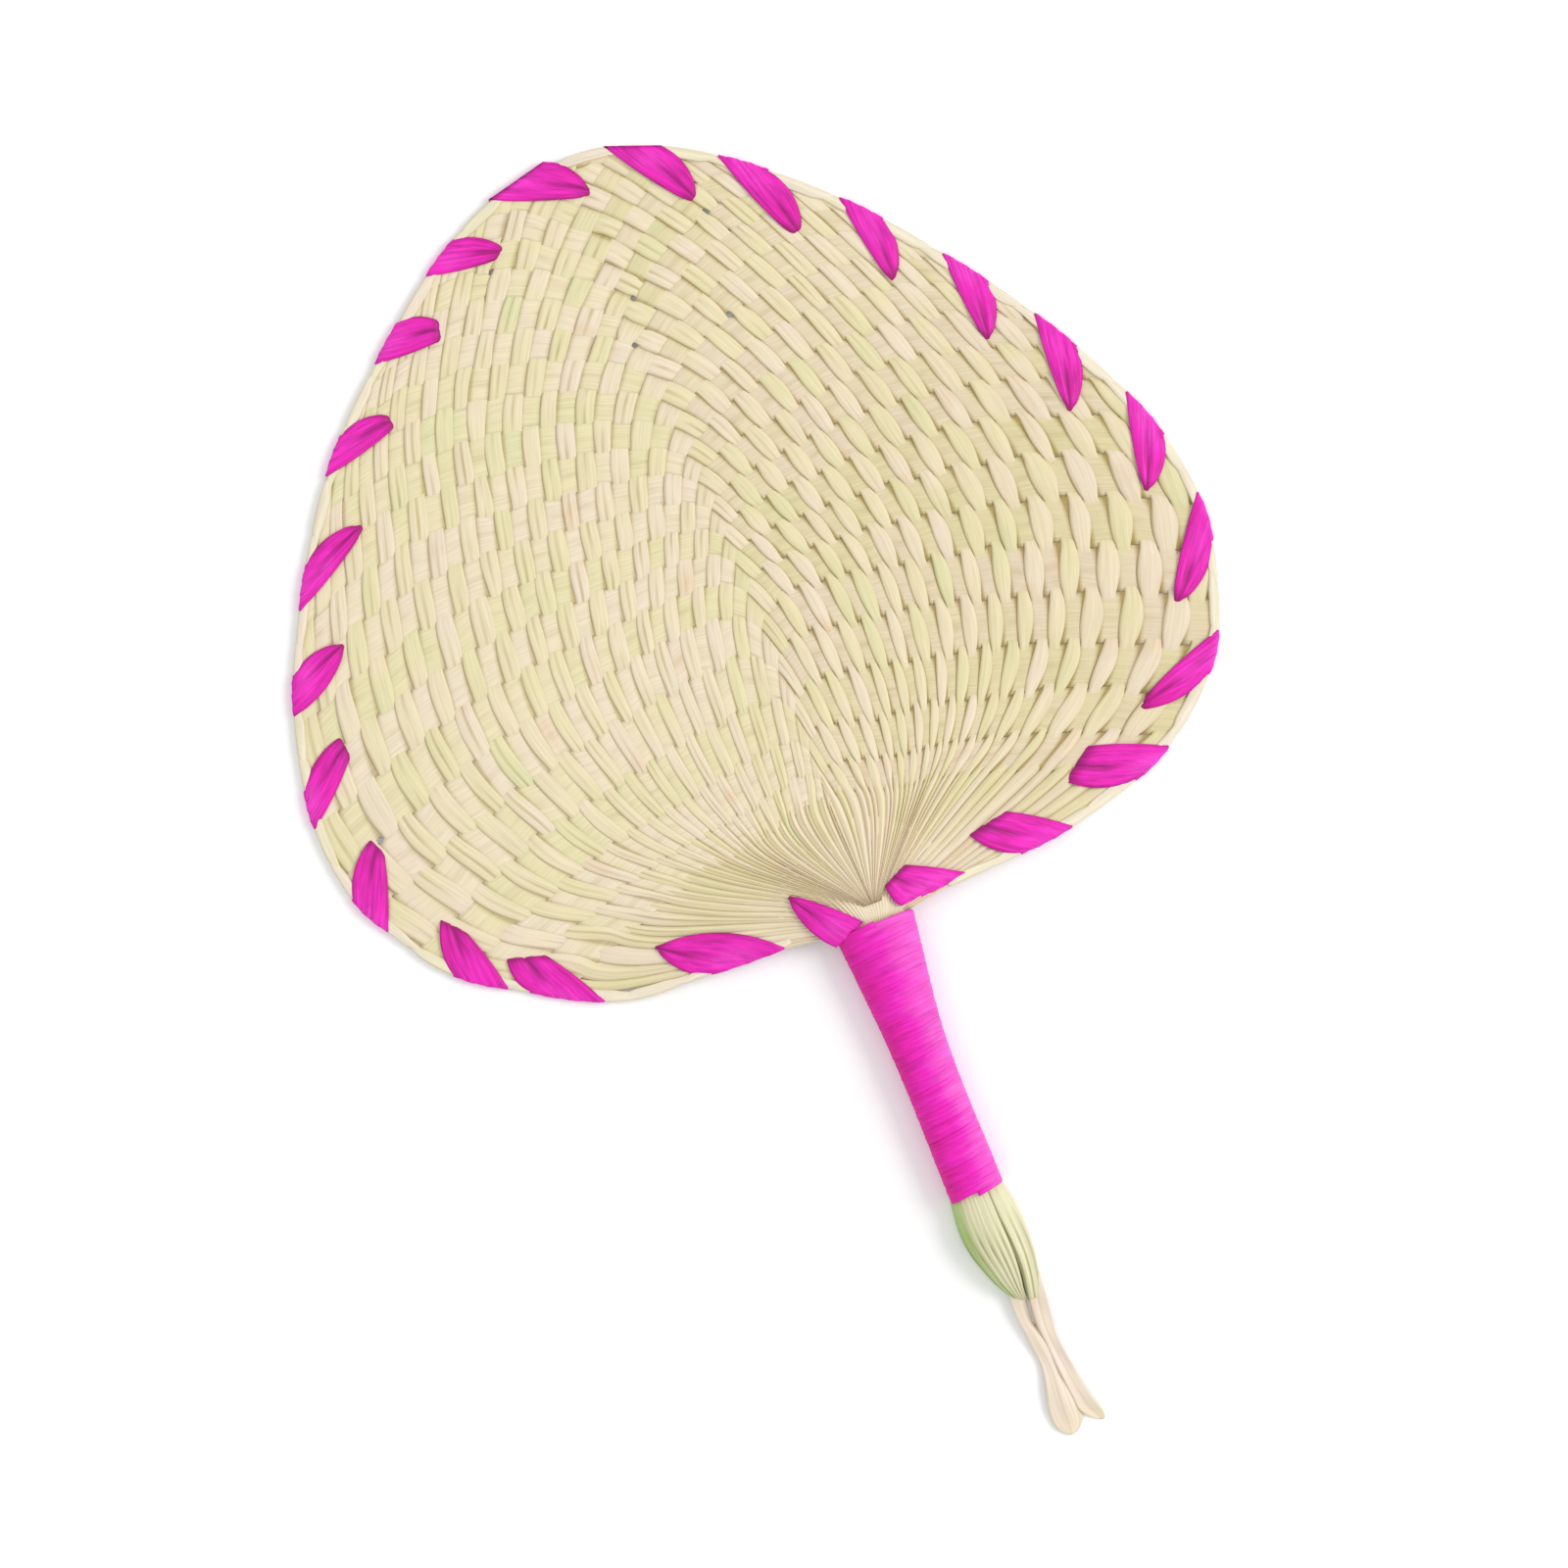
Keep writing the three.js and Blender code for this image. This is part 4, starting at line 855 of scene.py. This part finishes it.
def front_top(x, y):
    return blade_height(x, y) + FRONT_RISE[0] + nearness(x, y) * FRONT_RISE[1]


def back_low(x, y):
    return blade_height(x, y) - BACK_DEPTH[0] - nearness(x, y) * BACK_DEPTH[1]


def narrowed(xy, share):
    """The same line of points at a share of its width."""
    return xy.mean(0) + (xy - xy.mean(0)) * share


class Ribbon:
    """Rows of the raffia: base points, outward directions, bulge, fold and shade."""

    def __init__(self):
        self.rows = []
        self.across = np.linspace(0, 1, RAFFIA_COLUMNS)

    def row(self, xy, z, out, bulge, fold, shade):
        self.rows.append((grid(*xy.T, z), out, bulge, fold, shade))

    def front(self, start, hole, first, near_bow=NEAR_BOW):
        """Across the front from the rim to the hole, then down into it."""
        c = self.across[:, None]
        run = hole.mean(0) - start.mean(0)
        reach = np.linalg.norm(run)
        ahead = run / reach
        aside = np.array([-run[1], run[0]]) / reach
        if aside @ (start[-1] - start[0]) < 0:
            aside = -aside
        pinch = HOLE_PINCH * (1 - ease(*WIDE_HOLE, np.linalg.norm(hole[-1] - hole[0])))
        for t in np.r_[np.linspace(first, 0.85, 13), 0.91, 0.96, 1.0]:
            bow = 4 * t * (1 - t) * mix(near_bow, FAR_BOW, c) * reach
            xy = mix(start, hole, t) + aside * (2 * c - 1) * bow
            xy = narrowed(xy, 1 - pinch * ease(0.88, 1.0, t))
            z = front_top(*xy.T) - HOLE_DIVE * ease(0.9, 1.0, t) ** 2
            self.row(xy, z, UP, 0.30 + 0.40 * t, ease(0.2, 0.75, t), 1 - 0.75 * ease(0.8, 1.0, t))
        end = xy + ahead * HOLE_AHEAD
        for level in HOLE_LEVELS:
            self.row(end, blade_height(*end.T) - level, (*ahead, 0), 0.1, 0.2, 0.1)

    def back(self, hole, edge):
        """Across the back from the hole to the start of the next stitch."""
        for t in np.linspace(0.08, 0.93, 10):
            xy = narrowed(mix(hole, edge, t), 0.5 + 0.5 * ease(0, 0.7, t))
            self.row(xy, back_low(*xy.T), -UP, 0.1, 0.0, 0.7)

    def over_rim(self, xy, normal):
        height = blade_height(*xy.T)
        for turn in np.radians(np.linspace(-RIM_TURN, RIM_TURN, 8)):
            out = normal * math.cos(turn) + UP * math.sin(turn)
            moved = xy + normal[:, :2] * (RIM_REACH * math.cos(turn) - RIM_INSET)
            self.row(moved, height + RIM_HALF_HEIGHT * math.sin(turn), out, 0.25, 0.0, 1.0)

    def build(self):
        c = 2 * self.across - 1
        plate = []
        v = 0.0
        previous = self.rows[0][0].mean(0)
        for base, out, bulge, fold, shade in self.rows:
            out = np.broadcast_to(out, base.shape)
            v += float(np.linalg.norm(base.mean(0) - previous))
            previous = base.mean(0)
            fine = min(1, np.linalg.norm(base[-1] - base[0]) / 7)
            ridges = 0.10 * np.sin(c * 9.5 + v * 0.03) + 0.05 * np.sin(c * 23 + 1.3)
            crease = -CREASE_DEPTH * fold * np.exp(-((c - CREASE_PLACE) / CREASE_WIDTH) ** 2)
            lift = (bulge * (1 - np.abs(c) ** 2.4) + (ridges + crease) * fine)[:, None]
            # painted shade: a dark line along the crease and darker edges; the tint also drops toward the
            # edges and where the stitch folds near the hole
            line = CREASE_SHADE * fold * np.exp(-((c - CREASE_PLACE) / CREASE_SHADE_WIDTH) ** 2)
            plate.append((
                base + out * lift, base + out * (lift - RAFFIA_THICKNESS), grid(c * 6.5, v),
                shade * (1 - line) * (1 - 0.25 * np.abs(c) ** 5),
                0.62 - 0.25 * np.abs(c) ** 2 - 0.2 * fold + 0.06 * math.sin(v * 0.37)))
        build = Build()
        build.plate(*(np.array(part) for part in zip(*plate)))
        build.piece("rim_raffia", RAFFIA, ["rim_stitching"], "raffia_dyed")


def add_stitching():
    ribbon = Ribbon()

    def line(a, b):
        return mix(a, b, ribbon.across[:, None])

    first, last, leading, trailing = np.reshape(FIRST_BAND, (4, 2))
    hole = line(trailing, leading)
    ribbon.front(line(first, last), hole, 0.0)
    for values in STITCHES:
        first, last, leading, trailing = np.reshape(values[:8], (4, 2))
        x, y, nx, ny = rim_at(mix(rim_near(*first), rim_near(*last), RIM_TAKEN * ribbon.across))
        edge, normal = grid(x, y), grid(nx, ny, 0)
        if abs(last[0]) < abs(RIM[-1][0]):
            # beside the grip the rim runs on along the root
            edge = line(first, last)
            normal = np.tile(BESIDE_GRIP_OUT / np.linalg.norm(BESIDE_GRIP_OUT), (RAFFIA_COLUMNS, 1))
        ribbon.back(hole, edge)
        ribbon.over_rim(edge, normal)
        hole = line(trailing, leading)
        ribbon.front(edge, hole, STITCH_START, *values[8:])
    ribbon.build()


# Oval of the winding at its top, waist and end: place along it, half width, middle and half height
GRIP_STATIONS = np.array([(0, 12.5, 0.1, 6.5), (0.42, 8.9, -0.3, 6.3), (1, 8.55, 0.75, 6.1)])
GRIP_END = -91.0
WRAP_END = -91.7
WRAP_LOOPS = 62
WRAP_STEPS = 44
WRAP_COLUMNS = 5
WRAP_WIDTH = 2.1
WRAP_THICKNESS = 0.5
# Random values for each loop: four that move and widen the strip, seven that lift it
WOBBLES_PER_LOOP = 4
RISES_PER_LOOP = 7


def grip_oval(t, turn, depth):
    """Sideways place and height on the winding, at a depth under its surface."""
    half_width, middle, half_height = readings(GRIP_STATIONS, t)
    return middle + np.cos(turn) * (half_width - depth), ROOT_HEIGHT + np.sin(turn) * (half_height - depth)


def add_wrap():
    n = WRAP_LOOPS * WRAP_STEPS + 1
    k = np.arange(n)
    turn = 2 * np.pi * k / WRAP_STEPS + np.pi / 2
    t = k / (n - 1)
    wobble, rise = (
        np.interp(k, np.linspace(0, n - 1, WRAP_LOOPS * knots), RNG.normal(0, 1, WRAP_LOOPS * knots))
        for knots in (WOBBLES_PER_LOOP, RISES_PER_LOOP))
    # the loops lean, and the first ones ride up on the front of the root
    lean = np.cos(turn) * 1.0
    ride = (1 - t) ** 6 * (0.5 + 1.2 * np.sin(turn))
    middle = mix(GRIP_TOP - 1.0, WRAP_END + 1.0, t) + lean + ride + 0.14 * wobble
    c = np.linspace(-1, 1, WRAP_COLUMNS)[None]
    width = (WRAP_WIDTH + 0.3 * wobble)[:, None]
    y = middle[:, None] - c * width / 2
    depth = np.maximum(0.32 - 0.20 * (1 - c ** 2) - 0.08 * c - 0.05 * rise[:, None], 0.02)
    s = np.clip((GRIP_TOP - y) / (GRIP_TOP - GRIP_END), 0, 1)
    around = turn[:, None]
    x, z = grip_oval(s, around, depth)
    inner_x, inner_z = grip_oval(s, around, depth + WRAP_THICKNESS)
    uv = grid(c + t[:, None] * 130, around * 9.5)
    # painted shade darkens the edges of each loop, and painted light brightens loops that stand higher
    shade = 0.92 + 0.07 * rise[:, None] - 0.22 * np.abs(c) ** 4
    # the tint is lighter on the right side of the winding and darker on its left, as painted light and shade
    tint = 0.50 + 0.42 * np.cos(turn) + 0.05 * wobble
    build = Build()
    build.plate(grid(x, y, z), grid(inner_x, y, inner_z), uv, shade, tint[:, None])
    build.piece("grip_raffia", WRAP, ["grip_wrap"], "raffia_dyed")


# Folded leaf end: y, left side, seam, right side and height
FOLD_STATIONS = np.array([
    [-90.4, -7.6, 3.8, 8.8, 11.0], [-95, -8.1, 4.0, 9.7, 11.3], [-99, -8.5, 4.2, 10.4, 11.4],
    [-103.5, -8.5, 4.5, 10.8, 11.4], [-109, -7.6, 4.7, 10.9, 11.0], [-114, -6.0, 4.7, 10.6, 10.2],
    [-119, -4.0, 4.4, 9.9, 8.8], [-123, -1.8, 3.9, 9.2, 6.8], [-127.2, 1.0, 3.6, 8.2, 3.6]])
# The seam opens toward the tip between these heights, from the first gap, lip and painted shade to the second
SEAM_OPENING = (-108, -122)
SEAM_GAP = (0.03, 0.2)
SEAM_LIP = (0.07, 0.30)
SEAM_SHADE = (0.45, 0.6)
# Share of its height at which the fold stands at its sides, and the power with which it rounds over
FOLD_SIDE_SHARE = 0.20
FOLD_ROUNDNESS = 0.36
# Ribs on the left and the right lobe, and their depth above and below, between two heights
FOLD_RIBS = (6.0, 2.5)
RIB_DEPTH = (0.25, 0.6)
RIB_GROWTH = (-98, -116)
FOLD_GRID = (56, 37)


def add_fold(word, end):
    is_right = word == "right"
    rings, columns = FOLD_GRID
    y = np.linspace(FOLD_STATIONS[0, 0], end, rings)[:, None]
    left, seam, right, high = readings(FOLD_STATIONS, y)
    opening = ease(*SEAM_OPENING, y)
    gap = mix(*SEAM_GAP, opening)
    low, top = (seam + gap, right) if is_right else (left, seam - gap)
    # columns gather toward both sides
    s = (0.5 - 0.5 * np.cos(np.linspace(0, np.pi, columns)))[None]
    x = mix(low, top, s)
    middle, half = (left + right) / 2, (right - left) / 2
    round_off = np.clip(1 - ((x - middle) / half) ** 2, 0, 1) ** FOLD_ROUNDNESS
    to_seam = np.abs(x - seam)
    lip = 1 - mix(*SEAM_LIP, opening) * np.exp(-to_seam / 0.45)
    rib = np.abs(np.sin(np.pi * (s ** 1.1) * FOLD_RIBS[is_right] + 0.5 * np.sin(y * 0.12)))
    valley = (1 - rib) ** 2
    strength = mix(*RIB_DEPTH, ease(*RIB_GROWTH, y)) * (1 - 0.5 * ease(-122, -127, y))
    z = high * (FOLD_SIDE_SHARE + (1 - FOLD_SIDE_SHARE) * round_off * lip) - strength * valley
    uv = grid(s * 14 + 40 * is_right, y)
    # painted shade in the valleys between the ribs and along the seam
    shade = 1 - 0.75 * valley * ease(-94, -110, y) - mix(*SEAM_SHADE, opening) * np.exp(-to_seam / 0.3)
    outer = np.clip((x - left) / (right - left), 0, 1)
    tint = mix(0.02, 0.75, ease(0.0, 0.28, outer)) - 0.12 * (1 - rib)
    build = Build()
    build.plate(grid(x, y, np.maximum(z, 0.3)), grid(x, y, 0.0), uv, shade, tint)
    build.piece(f"fold_{word}", GREEN, [f"end_fold_{word}"], "leaf_green")


# Tail strips: y, left edge, right edge and height
TAIL_STATIONS = {
    "left": np.array([
        [-122.5, -1.0, 3.2, 3.4], [-126.5, -1.4, 2.9, 3.2], [-130, -1.3, 2.5, 2.9], [-134, -0.9, 2.4, 2.4],
        [-137, -0.6, 3.6, 2.0], [-141, -0.2, 4.3, 1.7], [-147, 0.5, 4.9, 1.4], [-151, 0.0, 5.4, 1.5],
        [-156, -1.2, 5.9, 1.9], [-161, -2.2, 6.3, 1.7], [-164, -2.3, 6.3, 1.2], [-167, -1.4, 5.6, 0.9],
        [-169.2, 0.8, 3.4, 0.6]]),
    "right": np.array([
        [-120, 5.0, 9.9, 4.6], [-124, 4.3, 9.6, 4.2], [-128, 3.9, 9.3, 3.6], [-132, 3.5, 8.9, 3.0],
        [-135, 3.4, 8.6, 2.6], [-139, 4.0, 8.2, 2.2], [-145, 4.6, 8.7, 1.8], [-150, 5.0, 9.5, 1.6],
        [-155, 5.5, 10.3, 1.8], [-160, 6.1, 11.4, 2.0], [-164, 6.9, 12.6, 1.5], [-166.5, 9.0, 13.2, 1.0],
        [-168.3, 11.6, 13.0, 0.7]]),
}
TAIL_GRID = (70, 11)
TAIL_THICKNESS = 0.4
LEAST_TAIL_HEIGHT = 0.45


def add_tail(word):
    stations = TAIL_STATIONS[word]
    rings, columns = TAIL_GRID
    y = np.linspace(stations[0, 0], stations[-1, 0], rings)[:, None]
    left, right, high = readings(stations, y)
    c = np.linspace(-1, 1, columns)[None]
    x = mix(left, right, (c + 1) / 2)
    sense = 1 if word == "left" else -1
    crease = 0.45 * (1 - np.abs(c)) * sense
    flutter = 0.2 * np.sin(y * 0.35 + c * 1.7)
    if word == "left":
        # its inner edge slips under the other strip
        tuck = ease(-131, -138, y) * ((c + 1) / 2) ** 3
        x = x + 0.8 * tuck
        flutter = flutter - 0.55 * tuck
    z = np.maximum(LEAST_TAIL_HEIGHT, high + crease + flutter)
    bow = 0.5 * (1 - c ** 2) * ease(-165, -169, y)
    upper = grid(x, y - bow, z)
    # painted shade along the crease and at the inner edge near the top, where the two strips meet
    inner = np.exp(-((c - sense) / 0.45) ** 2) * (1 - ease(-134, -140, y))
    shade = 1 - 0.25 * np.exp(-(c / 0.12) ** 2) - 0.55 * inner
    tint = mix(0.85, 0.35, ease(-150, -167, y)) + 0.15 * np.sin(y * 0.5)
    build = Build()
    build.plate(upper, upper - (0, 0, TAIL_THICKNESS), grid(c * 4 + 30 * sense, y), shade, tint)
    build.piece(f"tail_leaf_{word}", TAIL, [f"tail_{word}"], "leaf_dry")


add_strips()
add_root()
add_rim_folds()
add_stitching()
add_wrap()
add_fold("left", -126.2)
add_fold("right", -127.2)
add_tail("left")
add_tail("right")
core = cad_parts["handle_core"]
core.data.materials.clear()
core.data.materials.append(CORE)

# Floor and light. The camera sees a plain white floor, which throws a little less light on the fan
FLOOR_SIZE = 8
FLOOR_HEIGHT = -0.0002
FLOOR_GREY = 0.93
FLOOR_GLOW = 0.035
SKY_STRENGTH = 0.75


def floor_material():
    mat = bpy.data.materials.new("floor")
    mat.use_nodes = True
    tree = mat.node_tree
    tree.nodes.clear()
    white = (1, 1, 1, 1)
    plain = add_node(tree, "ShaderNodeBsdfDiffuse", (*[FLOOR_GREY] * 3, 1)).outputs[0]
    bright = add_node(tree, "ShaderNodeBsdfDiffuse", white).outputs[0]
    glow = add_node(tree, "ShaderNodeEmission", white, FLOOR_GLOW).outputs[0]
    seen = add_node(tree, "ShaderNodeAddShader", bright, glow).outputs[0]
    camera_ray = add_node(tree, "ShaderNodeLightPath").outputs["Is Camera Ray"]
    surface = add_node(tree, "ShaderNodeMixShader", camera_ray, plain, seen).outputs[0]
    add_node(tree, "ShaderNodeOutputMaterial", surface)
    return mat


bpy.ops.mesh.primitive_plane_add(size=FLOOR_SIZE, location=(0, 0, FLOOR_HEIGHT))
floor = bpy.context.object
floor.name = "floor"
floor.data.materials.append(floor_material())

world = bpy.data.worlds.new("world")
bpy.context.scene.world = world
world.use_nodes = True
sky = world.node_tree.nodes["Background"]
sky.inputs["Color"].default_value = (1, 1, 1, 1)
sky.inputs["Strength"].default_value = SKY_STRENGTH


def area_light(name, place, size, power):
    data = bpy.data.lights.new(name, "AREA")
    data.size = size
    data.energy = power
    light = bpy.data.objects.new(name, data)
    light.location = place
    light.rotation_euler = (-Vector(place)).to_track_quat("-Z", "Y").to_euler()
    bpy.context.scene.collection.objects.link(light)


area_light("key", place=(1.45, -0.15, 1.25), size=0.9, power=17)
area_light("fill", place=(-0.9, 0.6, 1.7), size=1.4, power=3)

bpy.context.scene.view_settings.view_transform = "Standard"
